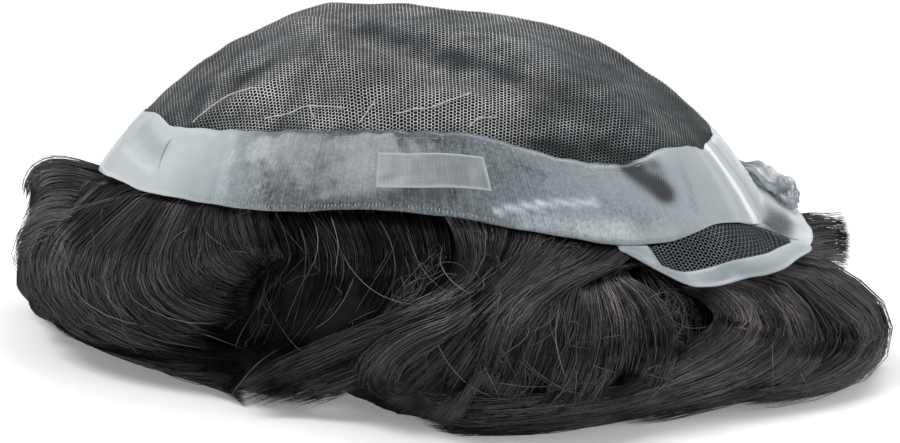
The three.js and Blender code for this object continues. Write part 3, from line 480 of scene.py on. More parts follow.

# How each sheet is filled: how many strands, from how deep under its lines, how many clumps, how
# far they spread across at the root and at the tip, as shares of the way to the next line, how
# frizzy, how light (painted light and shade: lower for a sheet in shade, higher for one that
# catches the light), and whether it comes out from under the rim.
SHEETS = table_of_rows("name strands deep clumps root tip frizz light rooted", [
    ("left", 2000, 3.0, 60, 0.35, 0.2, 0.45, 0.1, True),
    ("left_low", 620, 2.5, 20, 0.3, 0.3, 0.5, -0.04, False),
    ("middle", 1150, 2.5, 44, 0.4, 0.3, 0.6, -0.54, True),
    ("s_lock", 950, 3.0, 24, 0.3, 0.16, 0.7, -0.06, True),
    ("s_low", 1000, 2.5, 30, 0.3, 0.25, 0.6, 0.02, True),
    ("small_curl", 130, 2.0, 6, 0.25, 0.2, 0.8, 0.0, False),
    ("clump", 1000, 2.5, 34, 0.3, 0.3, 0.8, 0.17, False),
    ("bottom", 480, 2.0, 18, 0.35, 0.35, 0.9, 0.0, False),
    ("right", 900, 3.0, 30, 0.3, 0.2, 0.6, 0.3, True),
    ("far_right", 600, 3.0, 18, 0.3, 0.22, 0.6, 0.36, True),
    ("between", 240, 2.0, 10, 0.5, 0.5, 1.2, -0.2, False),
    ("blunt_end", 560, 4.0, 16, 0.5, 0.45, 0.1, 0.4, False),
    ("left_lobe", 700, 5.0, 18, 0.4, 0.35, 0.3, 0.48, False),
    ("under_lip", 240, 4.0, 10, 0.5, 0.5, 1.8, -0.05, False),
])

# Loose strands that cross a sheet: between which of its lines, how far down, and how many.
TANGLES = table_of_rows("name from_line to_line across from_down to_down strands", [
    ("left", 0, 10, 0.8, 0.05, 1.0, 30),
    ("middle", 7, 10, 2.5, 0.3, 0.8, 40),
    ("middle", 0, 8, 0.8, 0.1, 1.0, 16),
    ("middle", 0, 3, 0.6, 0.3, 1.0, 26),
    ("s_lock", 0, 4, 1.2, 0.2, 0.7, 24),
    ("s_low", 0, 5, 1.0, 0.1, 0.9, 24),
    ("clump", 0, 8, 1.0, 0.3, 1.0, 40),
    ("clump", 0, 8, 3.0, 0.7, 1.0, 12),
    ("under_lip", 0, 3, 2.5, 0.2, 0.9, 60),
    ("right", 0, 1, 1.2, 0.0, 0.5, 26),
    ("right", 0, 5, 1.0, 0.1, 0.9, 20),
    ("between", 0, 2, 1.5, 0.3, 0.8, 16),
    ("far_right", 0, 3, 1.0, 0.1, 0.9, 14),
    ("bottom", 0, 3, 2.0, 0.0, 0.9, 20),
])

# Painted shade in the hair's hollows and gaps, and painted highlights where clumps catch the light:
# angle, reach beyond the rim, height, size, how much.
PAINTED_SHADE_AND_HIGHLIGHTS = (
    (-106.1, 0.8, 40.1, 4.7, -0.4),
    (-106.0, -0.5, 45.5, 3.6, -0.3),
    (-105.8, 4.2, 32.5, 6.6, -0.45),
    (-107.1, 4.6, 23.3, 6.1, -0.4),
    (-112.7, 0.9, 14.4, 4.4, -0.25),
    (-64.6, 1.0, 45.1, 5.0, -0.2),
    (-47.6, 22.7, 34.6, 2.8, -0.3),
    (-48.7, 27.1, 28.7, 2.5, -0.2),
    (-23.5, 1.6, 30.2, 6.6, -0.3),
    (-34.9, 18.4, 28.2, 4.4, -0.2),
    (-12.5, 25.5, 22.6, 3.6, -0.35),
    (-29.9, -2.8, 40.4, 3.9, -0.25),
    (-53.6, 11.2, 6.4, 8.3, -0.12),
    (-57.0, 17.9, 38.1, 5.5, 0.12),
    (-42.1, 17.1, 35.7, 6.1, 0.14),
    (-21.2, 17.2, 27.0, 6.1, 0.12),
    (-13.1, 16.1, 28.5, 5.0, 0.1),
    (-136.1, 7.8, 29.9, 8.3, 0.06),
    (-97.7, 4.9, 9.0, 5.0, 0.12),
    (-6.4, 30.5, 18.4, 3.9, 0.1),
    (-98.5, 4.4, 33.4, 6.5, -0.32),
    (-100.8, 5.5, 24.4, 5.5, -0.3),
    (-88.4, 7.1, 33.1, 7.2, -0.1),
    (-183.0, 26.0, 37.9, 4.4, 0.1),
    (-117.4, 4.5, 31.2, 4.4, -0.14),
    (-36.2, 11.6, 35.1, 4.4, 0.1),
    (-51.4, 25.6, 27.5, 6.1, 0.08),
    (-24.8, 14.7, 21.2, 4.4, -0.1),
    (-27.8, 13.2, 12.6, 6.1, 0.08),
    (-140.5, -4.9, 44.9, 6.1, 0.06),
)


def smooth(a, b, c, d, t):
    """A smooth run through four neighbouring values, from the second to the third."""
    return b + t / 2 * (c - a + t * (2 * a - 5 * b + 4 * c - d + t * (3 * (b - c) + d - a)))


def round_table(rows, column, angle):
    """A smooth closed curve through a column, read at angles."""
    at, value = rows["at"], rows[column]
    turn = np.mod(np.asarray(angle, float) - at[0], 360)
    places = np.append(at - at[0], 360)
    i = np.clip(np.searchsorted(places, turn, side="right") - 1, 0, len(at) - 1)
    t = (turn - places[i]) / (places[i + 1] - places[i])
    a, b, c, d = (value[(i + k) % len(at)] for k in (-1, 0, 1, 2))
    return smooth(a, b, c, d, t)


def run(values, t):
    """A smooth open run through a list of values, as t goes from 0 to 1."""
    last = len(values) - 1
    i = np.minimum((np.asarray(t) * last).astype(int), last - 1)
    a, b, c, d = (np.asarray([values[min(max(k + j, 0), last)] for k in range(last)])
                  for j in (-1, 0, 1, 2))
    return smooth(a[i], b[i], c[i], d[i], np.asarray(t) * last - i)


def polar(angle, radius, z):
    angle, radius, z = np.broadcast_arrays(np.radians(angle), radius, z)
    return np.stack([radius * np.cos(angle), radius * np.sin(angle), z], -1)


def unit(v):
    return v / np.maximum(np.linalg.norm(v, axis=-1, keepdims=True), 1e-9)


def rim_radius(angle):
    c, s = np.cos(np.radians(angle)), np.sin(np.radians(angle))
    reach = np.where(c > 0, FRONT_REACH, BACK_REACH)
    total = np.abs(c / reach) ** RIM_SQUARENESS + np.abs(s / HALF_WIDTH) ** RIM_SQUARENESS
    return total ** (-1 / RIM_SQUARENESS)


def rim_z(angle):
    return RIM_HEIGHT + CROWN_RISE * round_table(RIM, "lift", angle)


def fold_lift(angle, share):
    """How far the folds lift a place of the dome, as a share of the crown's rise."""
    here = polar(angle, share, 0)[..., :2]
    lift = 0
    for k in range(len(FOLDS["lift"])):
        start = polar(FOLDS["from_at"][k], FOLDS["from_share"][k], 0)[:2]
        line = polar(FOLDS["to_at"][k], FOLDS["to_share"][k], 0)[:2] - start
        along = np.clip((here - start) @ line / (line @ line), 0, 1)
        off = np.linalg.norm(here - start - along[..., None] * line, axis=-1) / FOLDS["wide"][k]
        lift = lift + FOLDS["lift"][k] * np.exp(-off * off)
    return lift


def base_point(angle, share):
    """A point of the base's upper face: share is 0 at the crown, 1 at the rim, or more."""
    angle, share = np.broadcast_arrays(np.asarray(angle, float), np.asarray(share, float))
    kept = np.minimum(share, 1)
    fall = 1 - (1 - kept ** DOME_INNER) ** DOME_OUTER
    crown_z = RIM_HEIGHT + CROWN_RISE
    point = polar(angle, rim_radius(angle) * kept, crown_z - (crown_z - rim_z(angle)) * fall)
    outward = unit(point - np.array([0, 0, RIM_HEIGHT - CROWN_RISE / 2]))
    point = point + outward * (CROWN_RISE * fold_lift(angle, kept))[..., None]
    if np.any(share > 1):
        run_in = 0.02
        slope = base_point(angle, np.ones_like(share))
        slope = slope - base_point(angle, np.full_like(share, 1 - run_in))
        point = point + slope * (np.maximum(share - 1, 0) / run_in)[..., None]
    return point


# Lengths over the dome, from the crown to each of a row of shares, at each of a row of angles
ARC_ANGLES = np.linspace(-180, 180, 181)
ARC_SHARES = np.linspace(0, 1, 161)
_arc_points = base_point(ARC_ANGLES[:, None], ARC_SHARES[None, :])
ARCS = np.concatenate([
    np.zeros((len(ARC_ANGLES), 1)),
    np.cumsum(np.linalg.norm(np.diff(_arc_points, axis=1), axis=2), axis=1),
], axis=1)


def arcs_at(angle):
    """The lengths over the dome at angles, one row an angle."""
    place = np.mod(np.asarray(angle, float) + 180, 360) / 360 * (len(ARC_ANGLES) - 1)
    i = np.minimum(place.astype(int), len(ARC_ANGLES) - 2)
    f = (place - i)[..., None]
    return ARCS[i] * (1 - f) + ARCS[i + 1] * f


def share_at(angle, length):
    """The share of the way to the rim at a length over the dome from the crown."""
    angle, length = np.broadcast_arrays(np.asarray(angle, float), np.asarray(length, float))
    shape = angle.shape
    rows = arcs_at(angle.ravel())
    length = length.ravel()
    i = np.clip((rows <= length[:, None]).sum(1) - 1, 0, rows.shape[1] - 2)
    k = np.arange(len(i))
    f = (length - rows[k, i]) / np.maximum(rows[k, i + 1] - rows[k, i], 1e-9)
    return (ARC_SHARES[i] + f * (ARC_SHARES[1] - ARC_SHARES[0])).reshape(shape)


def from_rim(angle, width):
    """The share of a place whose distance over the dome is measured from the rim."""
    return share_at(angle, arcs_at(angle)[..., -1] - width)


def film_width(angle):
    return BAND_WIDTH * round_table(RIM, "wide", angle)


def lip_face(at, v):
    """The lip's face: v is 0 at the rim and 1 at its outer edge."""
    at, v = np.broadcast_arrays(np.asarray(at, float), np.asarray(v, float))
    near = np.maximum(0, 1 - np.abs(at - LACE_END) / SLANT_WITHIN)
    angle = at + SLANT_BY * (v - LACE_SHARE) * near
    out = GAP + LIP_REACH * round_table(LIP, "out", angle) * v
    drop = GAP + LIP_DROP * round_table(LIP, "drop", angle) * (v + LIP_BOW * np.sin(np.pi * v))
    return base_point(angle, np.ones_like(v)) + polar(angle, out, -drop)


def normals_of(face, u, v, du=0.2, dv=0.004):
    """The outward normals of a face that is given over an angle and a share."""
    w = np.clip(v, 2 * dv, 1 - dv)
    across = face(u + du, w) - face(u - du, w)
    along = face(u, w + dv) - face(u, w - dv)
    return unit(np.cross(along, across))


def raised(face, u, v, height):
    u, v = np.broadcast_arrays(np.asarray(u, float), np.asarray(v, float))
    return face(u, v) + normals_of(face, u, v) * np.asarray(height)[..., None]


def ripple(u, v, seed, waves=9, shortest=6.0, longest=40.0):
    """Smooth noise over two lengths, about -1 to 1: a sum of waves at drawn angles and lengths."""
    draw = np.random.default_rng(seed)
    total = 0
    for _ in range(waves):
        size = draw.uniform(shortest, longest)
        turn, phase = draw.uniform(0, 2 * np.pi, 2)
        total = total + np.sin((u * np.cos(turn) + v * np.sin(turn)) * 2 * np.pi / size + phase)
    return total / math.sqrt(waves)


# Meshes

def mesh_object(name, points, faces, material, uv=None, is_smooth=True, **values):
    """A mesh from arrays: points in millimetres, lists of faces, and values for each point."""
    mesh = bpy.data.meshes.new(name)
    mesh.vertices.add(len(points))
    mesh.vertices.foreach_set("co", (np.asarray(points) * MM).astype(np.float32).ravel())
    loops = np.concatenate([f.ravel() for f in faces]).astype(np.int32)
    sizes = np.concatenate([np.full(len(f), f.shape[1]) for f in faces])
    mesh.loops.add(len(loops))
    mesh.loops.foreach_set("vertex_index", loops)
    mesh.polygons.add(len(sizes))
    mesh.polygons.foreach_set("loop_start",
                              np.concatenate([[0], np.cumsum(sizes)[:-1]]).astype(np.int32))
    mesh.polygons.foreach_set("use_smooth", np.full(len(sizes), is_smooth))
    mesh.update(calc_edges=True)
    if uv is not None:
        layer = mesh.uv_layers.new(name="place")
        layer.data.foreach_set("uv", np.asarray(uv, np.float32)[loops].ravel())
    for key, value in values.items():
        kept = mesh.attributes.new(key, "FLOAT", "POINT")
        kept.data.foreach_set("value", np.asarray(value, np.float32).ravel())
    mesh.materials.append(material)
    piece = bpy.data.objects.new(name, mesh)
    bpy.context.scene.collection.objects.link(piece)
    return piece


def grid_faces(rows, columns, ring=False, start=0, flip=False):
    """Quads over a grid of points that is stored row by row."""
    width = columns
    j, i = np.meshgrid(np.arange(rows - 1), np.arange(columns if ring else columns - 1),
                       indexing="ij")
    n = (i + 1) % columns
    quads = np.stack([j * width + i, (j + 1) * width + i, (j + 1) * width + n, j * width + n], -1)
    quads = quads.reshape(-1, 4) + start
    return quads[:, ::-1] if flip else quads


def wall_faces(rows, columns, ring=False):
    """Quads of a closed wall whose upper grid comes first and whose lower grid follows."""
    count = rows * columns
    faces = [grid_faces(rows, columns, ring), grid_faces(rows, columns, ring, count, True)]
    i = np.arange(columns if ring else columns - 1)
    n = (i + 1) % columns
    last = (rows - 1) * columns
    faces.append(np.stack([last + i, count + last + i, count + last + n, last + n], -1))
    faces.append(np.stack([i, n, count + n, count + i], -1))
    if not ring:
        j = np.arange(rows - 1) * columns
        k = j + columns
        end = columns - 1
        faces.append(np.stack([j, count + j, count + k, k], -1))
        faces.append(np.stack([j + end, k + end, count + k + end, count + j + end], -1))
    return faces


def wall_piece(name, upper, lower, material, ring=False, uv=None, **values):
    """A closed wall between two grids of points of the same shape."""
    rows, columns = upper.shape[:2]
    points = np.concatenate([upper.reshape(-1, 3), lower.reshape(-1, 3)])
    twice = lambda x: np.concatenate([x, x])
    values = {key: twice(value.ravel()) for key, value in values.items()}
    uv = None if uv is None else twice(uv)
    return mesh_object(name, points, wall_faces(rows, columns, ring), material, uv, **values)


def tubes(paths, radii, sides):
    """Closed, pointed tubes, one a path: paths is (count, steps, 3), radii (count, steps)."""
    count, steps = paths.shape[:2]
    along = unit(np.gradient(paths, axis=1))
    up = np.array([0.0, 0.0, 1.0])
    side = np.cross(along, up)
    side = unit(side + np.array([1e-4, 2e-4, 0]))
    other = np.cross(side, along)
    turns = np.arange(sides) * 2 * np.pi / sides
    ring = side[:, 1:-1, None] * np.cos(turns)[:, None]
    ring = ring + other[:, 1:-1, None] * np.sin(turns)[:, None]
    body = paths[:, 1:-1, None] + ring * radii[:, 1:-1, None, None]
    inner = steps - 2
    body = body.reshape(count, inner * sides, 3)
    points = np.concatenate([body, paths[:, :1], paths[:, -1:]], axis=1)
    size = inner * sides + 2
    quads = grid_faces(inner, sides, ring=True, flip=True)
    k = np.arange(sides)
    n = (k + 1) % sides
    first = np.stack([np.full(sides, inner * sides), k, n], -1)
    final = (inner - 1) * sides
    last = np.stack([np.full(sides, inner * sides + 1), final + n, final + k], -1)
    shift = (np.arange(count) * size)[:, None, None]
    faces = [(quads + shift).reshape(-1, 4), (np.concatenate([first, last]) + shift).reshape(-1, 3)]
    return points.reshape(-1, 3), faces, size


# Materials

class Nodes:
    """A short way to write a material's nodes."""

    def __init__(self, name):
        self.material = bpy.data.materials.new(name)
        self.material.use_nodes = True
        self.tree = self.material.node_tree
        self.surface = self.tree.nodes["Principled BSDF"]

    def add(self, kind, inputs=None, **settings):
        node = self.tree.nodes.new(kind)
        for key, value in settings.items():
            setattr(node, key, value)
        for key, value in (inputs or {}).items():
            self.put(node.inputs[key], value)
        return node

    def put(self, socket, value):
        if isinstance(value, bpy.types.NodeSocket):
            self.tree.links.new(value, socket)
        else:
            socket.default_value = value

    def value(self, name):
        return self.add("ShaderNodeAttribute", attribute_name=name).outputs["Fac"]

    def tone(self):
        return self.value("tone")

    def lengths(self):
        """The piece's own lengths, along and across."""
        uv = self.add("ShaderNodeUVMap", uv_map="place").outputs["UV"]
        parts = self.add("ShaderNodeSeparateXYZ", {"Vector": uv})
        return parts.outputs["X"], parts.outputs["Y"]

    def place(self, scale=(1, 1, 1)):
        """The piece's own lengths, along and across, each by a scale."""
        uv = self.add("ShaderNodeUVMap", uv_map="place").outputs["UV"]
        return self.add("ShaderNodeMapping", {"Vector": uv, "Scale": scale}).outputs["Vector"]

    def noise(self, scale, detail=3.0, vector=None, rough=0.5):
        inputs = {"Scale": scale, "Detail": detail, "Roughness": rough}
        if vector is None:
            vector = self.add("ShaderNodeTexCoord").outputs["Object"]
        inputs["Vector"] = vector
        return self.add("ShaderNodeTexNoise", inputs).outputs["Fac"]

    def math(self, kind, a, b=0.0):
        return self.add("ShaderNodeMath", {0: a, 1: b}, operation=kind).outputs[0]

    def times(self, value, factor):
        return self.math("MULTIPLY", value, factor)

    def sum(self, first, *rest):
        for value in rest:
            first = self.math("ADD", first, value)
        return first

    def ramp(self, value, *stops):
        node = self.add("ShaderNodeValToRGB", {"Fac": value})
        ramp = node.color_ramp
        while len(ramp.elements) < len(stops):
            ramp.elements.new(0.5)
        for element, (place, colour) in zip(ramp.elements, stops):
            element.position = place
            element.color = (*colour, 1) if len(colour) == 3 else colour
        return node.outputs["Color"]

    def mix(self, factor, a, b, kind="MIX"):
        node = self.add("ShaderNodeMix", data_type="RGBA", blend_type=kind)
        self.put(node.inputs[0], factor)
        self.put(node.inputs[6], a)
        self.put(node.inputs[7], b)
        return node.outputs[2]

    def bump(self, height, strength, distance):
        inputs = {"Height": height, "Strength": strength, "Distance": distance}
        return self.add("ShaderNodeBump", inputs).outputs["Normal"]

    def finish(self, **sockets):
        for key, value in sockets.items():
            self.put(self.surface.inputs[key.replace("_", " ")], value)
        return self.material


def grey(value, tint=(1.0, 1.0, 1.0)):
    return tuple(value * x for x in tint)


COOL = (0.88, 1.0, 1.06)


def net_material():
    n = Nodes("lace_net")
    coarse, middle, fine = n.noise(25.0, 3.0), n.noise(90.0, 3.0, rough=0.65), n.noise(900.0, 2.0)
    colour = n.ramp(n.sum(n.times(coarse, 0.35), n.times(middle, 0.35), n.times(fine, 0.3)),
                    (0.34, grey(0.2)), (0.5, grey(0.42)), (0.66, grey(0.8)))
    tint = n.ramp(n.value("tone"),
                  (0.0, grey(1.0, (0.98, 1.0, 0.99))), (0.35, grey(0.58, (0.94, 1.0, 1.04))),
                  (0.65, grey(0.3, (0.88, 1.0, 1.08))), (1.0, grey(0.1, (0.86, 1.0, 1.1))))
    across, along = n.lengths()
    gap = n.math("FLOORED_MODULO", n.math("FLOOR", n.times(across, 1 / NET_PITCH)), 2.0)
    from_wale = n.math("PINGPONG", across, NET_PITCH / 2)
    from_bar = n.math("PINGPONG",
                      n.math("SUBTRACT", along, n.times(gap, NET_PITCH / 2)), NET_PITCH / 2)
    wale = n.math("POWER", n.times(from_wale, 1 / (NET_THREAD / 2 + NET_ZIGZAG)), 2.0)
    bar = n.math("POWER", n.times(from_bar, 2 / NET_BAR), 2.0)
    raised_part = n.math("SUBTRACT", 1.0, n.math("MINIMUM", n.math("MINIMUM", wale, bar), 1.0))
    # Painted shade on the round of each thread, dark at its sides, and a painted highlight along its
    # middle, brighter than its own colour.
    sides = n.ramp(raised_part, (0.0, grey(0.04)), (0.45, grey(0.36)),
                   (0.8, grey(0.95)), (1.0, grey(1.35)))
    shade = n.mix(1.0, n.mix(1.0, colour, tint, "MULTIPLY"), sides, "MULTIPLY")
    return n.finish(Base_Color=shade, Roughness=0.6, Sheen_Weight=0.1, Specular_IOR_Level=0.3,
                    Normal=n.bump(raised_part, 0.5, 0.0001))


def film_material():
    n = Nodes("clear_film")
    along, down = n.lengths()
    patches = n.noise(45.0, 4.0, rough=0.6)
    specks = n.noise(1100.0, 2.0)
    hairs = n.noise(1.0, 4.0, vector=n.place((1.5, 0.07, 1)), rough=0.75)
    grain = n.value("grain")
    waver = n.math("MULTIPLY", n.noise(140.0, 2.0), 9.0)
    wales = n.math("SINE", n.math("ADD", n.math("MULTIPLY", along, 2 * math.pi / NET_PITCH), waver))
    rows = n.math("SINE", n.math("ADD", n.math("MULTIPLY", down, 2 * math.pi / NET_PITCH), waver))
    texture = n.sum(n.times(n.math("SUBTRACT", hairs, 0.5), 0.32),
                    n.times(n.math("SUBTRACT", specks, 0.5), 0.3),
                    n.times(wales, 0.018))
    dots = n.times(n.math("MULTIPLY", wales, rows), -0.09)
    cloud = n.sum(n.value("tone"), n.times(n.math("SUBTRACT", patches, 0.5), 0.17),
                  n.math("MULTIPLY", texture, grain), n.math("MULTIPLY", dots, n.value("net")))
    colour = n.ramp(cloud, (0.0, (0.02, 0.021, 0.026)),
                    (0.12, (0.075, 0.09, 0.101)), (0.35, grey(0.28, (0.87, 1.0, 1.07))),
                    (0.6, grey(0.48, (0.92, 1.0, 1.03))), (1.0, grey(0.8, (0.97, 1.0, 1.01))))
    rough = n.ramp(n.noise(60.0, 3.0), (0.3, grey(0.26)), (0.7, grey(0.46)))
    bumps = n.sum(n.times(n.noise(160.0, 3.0), 0.7), n.times(texture, 0.25))
    return n.finish(Base_Color=colour, Roughness=rough,
                    Normal=n.bump(bumps, 0.25, 0.0006), IOR=1.46,
                    Coat_Weight=0.2, Coat_Roughness=0.12)


def roll_material():
    n = Nodes("crumpled_film")
    patches = n.noise(220.0, 4.0)
    colour = n.ramp(patches, (0.3, (0.15, 0.17, 0.19)), (0.5, (0.3, 0.33, 0.36)),
                    (0.75, (0.55, 0.58, 0.6)))
    return n.finish(Base_Color=colour, Roughness=0.26,
                    Coat_Weight=0.5, Coat_Roughness=0.1, IOR=1.48,
                    Normal=n.bump(n.noise(500.0, 3.0), 0.35, 0.0006))


def label_material():
    n = Nodes("bare_label")
    colour = n.ramp(n.noise(90.0, 4.0), (0.3, (0.14, 0.158, 0.172)), (0.7, (0.21, 0.235, 0.252)))
    along, down = n.lengths()
    waver = n.times(n.noise(140.0, 2.0), 6.0)
    wales = n.math("SINE", n.sum(n.times(along, 2 * math.pi / NET_PITCH), waver))
    rows = n.math("SINE", n.sum(n.times(down, 2 * math.pi / NET_PITCH), waver))
    lines = n.ramp(n.sum(n.times(wales, 0.1), n.times(rows, 0.07),
                         n.noise(1.0, 3.0, vector=n.place((1.4, 0.1, 1)))),
                   (0.3, grey(0.82)), (0.7, grey(1.08)))
    colour = n.mix(0.7, colour, lines, "MULTIPLY")
    # A painted highlight along the label's edges.
    colour = n.mix(n.value("edge"), colour, (0.42, 0.45, 0.47, 1))
    return n.finish(Base_Color=colour, Roughness=0.38,
                    Normal=n.bump(n.noise(400.0, 2.0), 0.2, 0.0003))


def thread_material():
    n = Nodes("pale_thread")
    colour = n.ramp(n.noise(600.0, 2.0), (0.3, grey(0.35)), (0.7, grey(0.62, (1, 0.98, 0.95))))
    return n.finish(Base_Color=colour, Roughness=0.55, Sheen_Weight=0.3)


def crack_material():
    n = Nodes("film_crack")
    colour = n.ramp(n.noise(800.0, 2.0), (0.3, grey(0.16, COOL)), (0.7, grey(0.3, COOL)))
    return n.finish(Base_Color=colour, Roughness=0.4)


def strand_material():
    n = Nodes("hair_strands")
    colour = n.ramp(n.tone(), (0.0, (0.0035, 0.0034, 0.0038)), (0.5, (0.0125, 0.0121, 0.0138)),
                    (0.8, (0.035, 0.0335, 0.038)), (0.9, (0.072, 0.069, 0.075)),
                    (1.0, (0.2, 0.19, 0.19)))
    warm = n.ramp(n.noise(14.0, 2.0), (0.4, (0.97, 0.99, 1.08)),
                  (0.54, (1.03, 0.98, 1.02)), (0.7, (1.1, 0.98, 0.97)))
    flecks = n.ramp(n.noise(140.0, 2.0), (0.3, grey(0.8)), (0.7, grey(1.2)))
    colour = n.mix(1.0, n.mix(1.0, colour, warm, "MULTIPLY"), flecks, "MULTIPLY")
    rough = n.ramp(n.noise(300.0, 2.0), (0.3, grey(0.26)), (0.7, grey(0.4)))
    shine = n.ramp(n.tone(), (0.0, grey(0.12)), (0.45, grey(0.5)), (0.9, grey(0.6)))
    return n.finish(Base_Color=colour, Roughness=rough, Specular_IOR_Level=shine, IOR=1.6)


# The hair's inside: partly the hair itself, partly painted shade, near black and darker than the strands.
def mass_material():
    n = Nodes("hair_mass")
    patches = n.noise(300.0, 4.0, rough=0.7)
    colour = n.ramp(patches, (0.35, grey(0.0012)), (0.6, (0.003, 0.0028, 0.003)),
                    (0.8, (0.006, 0.0055, 0.006)))
    return n.finish(Base_Color=colour, Roughness=0.7, Specular_IOR_Level=0.12,
                    Normal=n.bump(patches, 0.8, 0.0012))


def roots_material():
    n = Nodes("hair_roots")
    streaks = n.noise(1.0, 4.0, vector=n.place((0.9, 0.12, 1)), rough=0.7)
    colour = n.ramp(streaks, (0.35, grey(0.0008)), (0.55, grey(0.0025)), (0.75, grey(0.007)))
    hazy = n.ramp(streaks, (0.35, (0.035, 0.04, 0.046)), (0.7, (0.075, 0.083, 0.09)))
    colour = n.mix(n.tone(), colour, hazy)
    return n.finish(Base_Color=colour, Roughness=0.6, Specular_IOR_Level=0.12,
                    Normal=n.bump(streaks, 0.6, 0.0008))


def floor_material():
    n = Nodes("pale_floor")
    colour = n.ramp(n.noise(6.0, 2.0), (0.3, grey(0.86)), (0.7, grey(0.9)))
    return n.finish(Base_Color=colour, Roughness=0.75,
                    Emission_Color=(1, 1, 1, 1), Emission_Strength=0.22)


# The camera

CAMERA_AZIMUTH, CAMERA_ELEVATION = 15.0, 15.0
CAMERA_DISTANCE = 709.0
CAMERA_TARGET = (14.2, 0.0, 36.0)
PIXELS_PER_MM = 3.62  # at the target
PHOTO_WIDTH = 900


CLIP_NEAR, CLIP_FAR = 0.05, 20
WORLD_LIGHT = 0.5
FLOOR_SIZE = 4.0
# The point that every light is turned to, in metres.
LIGHT_AIM = (0, 0, 0.04)
# Lights: name, place and size in metres, power in watts.
LIGHTS = [
    ("key", (-0.5, -0.7, 1.3), (0.9, 0.6), 13),
    ("top", (0.3, 0.5, 1.4), (1.0, 0.7), 8),
    ("side", (1.2, -0.6, 0.6), (0.5, 0.8), 4),
]


def make_camera():
    data = bpy.data.cameras.new("camera")
    data.sensor_width = 36.0
    data.lens = data.sensor_width * CAMERA_DISTANCE * PIXELS_PER_MM / PHOTO_WIDTH
    data.clip_start, data.clip_end = CLIP_NEAR, CLIP_FAR
    camera = bpy.data.objects.new("camera", data)
    a, e = math.radians(CAMERA_AZIMUTH), math.radians(CAMERA_ELEVATION)
    back = Vector((math.sin(a) * math.cos(e), -math.cos(a) * math.cos(e), math.sin(e)))
    camera.location = (Vector(CAMERA_TARGET) + back * CAMERA_DISTANCE) * MM
    camera.rotation_euler = (-back).to_track_quat("-Z", "Y").to_euler()
    bpy.context.scene.collection.objects.link(camera)
    bpy.context.scene.camera = camera


def area_light(name, place, size, power):
    data = bpy.data.lights.new(name, "AREA")
    data.shape = "RECTANGLE"
    data.size, data.size_y = size
    data.energy = power
    light = bpy.data.objects.new(name, data)
    light.location = place
    aim = Vector(LIGHT_AIM) - Vector(place)
    light.rotation_euler = aim.to_track_quat("-Z", "Y").to_euler()
    bpy.context.scene.collection.objects.link(light)


def make_studio():
    world = bpy.data.worlds.new("studio")
    world.use_nodes = True
    world.node_tree.nodes["Background"].inputs["Color"].default_value = (1, 1, 1, 1)
    world.node_tree.nodes["Background"].inputs["Strength"].default_value = WORLD_LIGHT
    bpy.context.scene.world = world
    for name, place, size, power in LIGHTS:
        area_light(name, place, size, power)
    points = np.array([[-1, -1, 0], [1, -1, 0], [1, 1, 0], [-1, 1, 0]]) * FLOOR_SIZE / 2 / MM
    floor = mesh_object("floor", points, [np.array([[0, 1, 2, 3]])],
                        floor_material(), is_smooth=False)
    bpy.context.scene.view_settings.view_transform = "Standard"


def keep(piece, slot, *nodes):
    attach(piece, BODY)
    if nodes:
        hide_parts(*nodes)
    return piece


# The net

NET_PITCH = 0.98
NET_THREAD = 0.24
NET_BAR = 0.206
NET_ZIGZAG = 0.04
WALE_TURN = 17.0
NET_SINK = 0.25  # below the film's upper face
NET_TUCK = 3.0  # how far the net runs on under the film


def net_pattern(u_from, u_to, v_from, v_to, inside):
    """A net of upright wales joined by staggered bars: its flat points and triangles."""
    columns = np.arange(math.floor(u_from / NET_PITCH), math.ceil(u_to / NET_PITCH) + 1)
    levels = np.arange(math.floor(v_from / NET_PITCH), math.ceil(v_to / NET_PITCH) + 1)
    i, k = np.meshgrid(columns, levels, indexing="ij")
    u = i * NET_PITCH
    odd = (i % 2) * 0.5
    reach = NET_THREAD / 2 + NET_ZIGZAG
    right = (k + odd) * NET_PITCH
    left = (k + 0.5 - odd) * NET_PITCH
    half = NET_BAR / 2
    corners = np.stack([
        np.stack([u + reach, right - half], -1),
        np.stack([u + reach, right + half], -1),
        np.stack([u - reach, left - half], -1),
        np.stack([u - reach, left + half], -1),
    ], 2)
    count = len(levels)
    base = (np.arange(len(columns))[:, None] * count + np.arange(count)[None, :]) * 4
    ra, rb, la, lb = (base + c for c in range(4))
    faces = []
    even = (columns % 2 == 0)[:, None] & np.ones((1, count), bool)
    # On an even column the left bar lies half a pitch above the right one, and on an odd one below.
    up, mid, _ = slice(1, count), slice(0, count - 1), slice(0, count - 1)
    for kind, (a1, b1, a2, b2) in {True: (ra, rb, la, lb), False: (la, lb, ra, rb)}.items():
        pick = (even if kind else ~even)[:, mid]
        order = (lambda t: t) if kind else (lambda t: t[:, [0, 2, 1]])
        n1 = a1[:, up]
        for tri in ((a1[:, mid], b1[:, mid], a2[:, mid]), (b1[:, mid], n1, a2[:, mid]),
                    (a2[:, mid], n1, b2[:, mid])):
            faces.append(order(np.stack(tri, -1)[pick]))
        faces.append(order(np.stack((n1, b1[:, up], b2[:, mid]), -1)[pick]))
    r1, r2 = ra[:-1], rb[:-1]
    # A bar joins a column's right side to the next column's left side at the same height.
    l1, l2 = la[1:], lb[1:]
    bars = np.stack([r1, l1, l2, r2], -1).reshape(-1, 4)
    faces.append(bars[:, [0, 1, 2]])
    faces.append(bars[:, [0, 2, 3]])
    points = corners.reshape(-1, 2)
    triangles = np.concatenate(faces)
    triangles = triangles[np.all(inside(points)[triangles], axis=1)]
    used = np.unique(triangles)
    renumber = np.full(len(points), -1)
    renumber[used] = np.arange(len(used))
    return points[used], renumber[triangles]


def lace_place(points):
    """Angle and length from the crown of places on the flat lace."""
    return np.degrees(np.arctan2(points[:, 1], points[:, 0])), np.hypot(points[:, 0], points[:, 1])


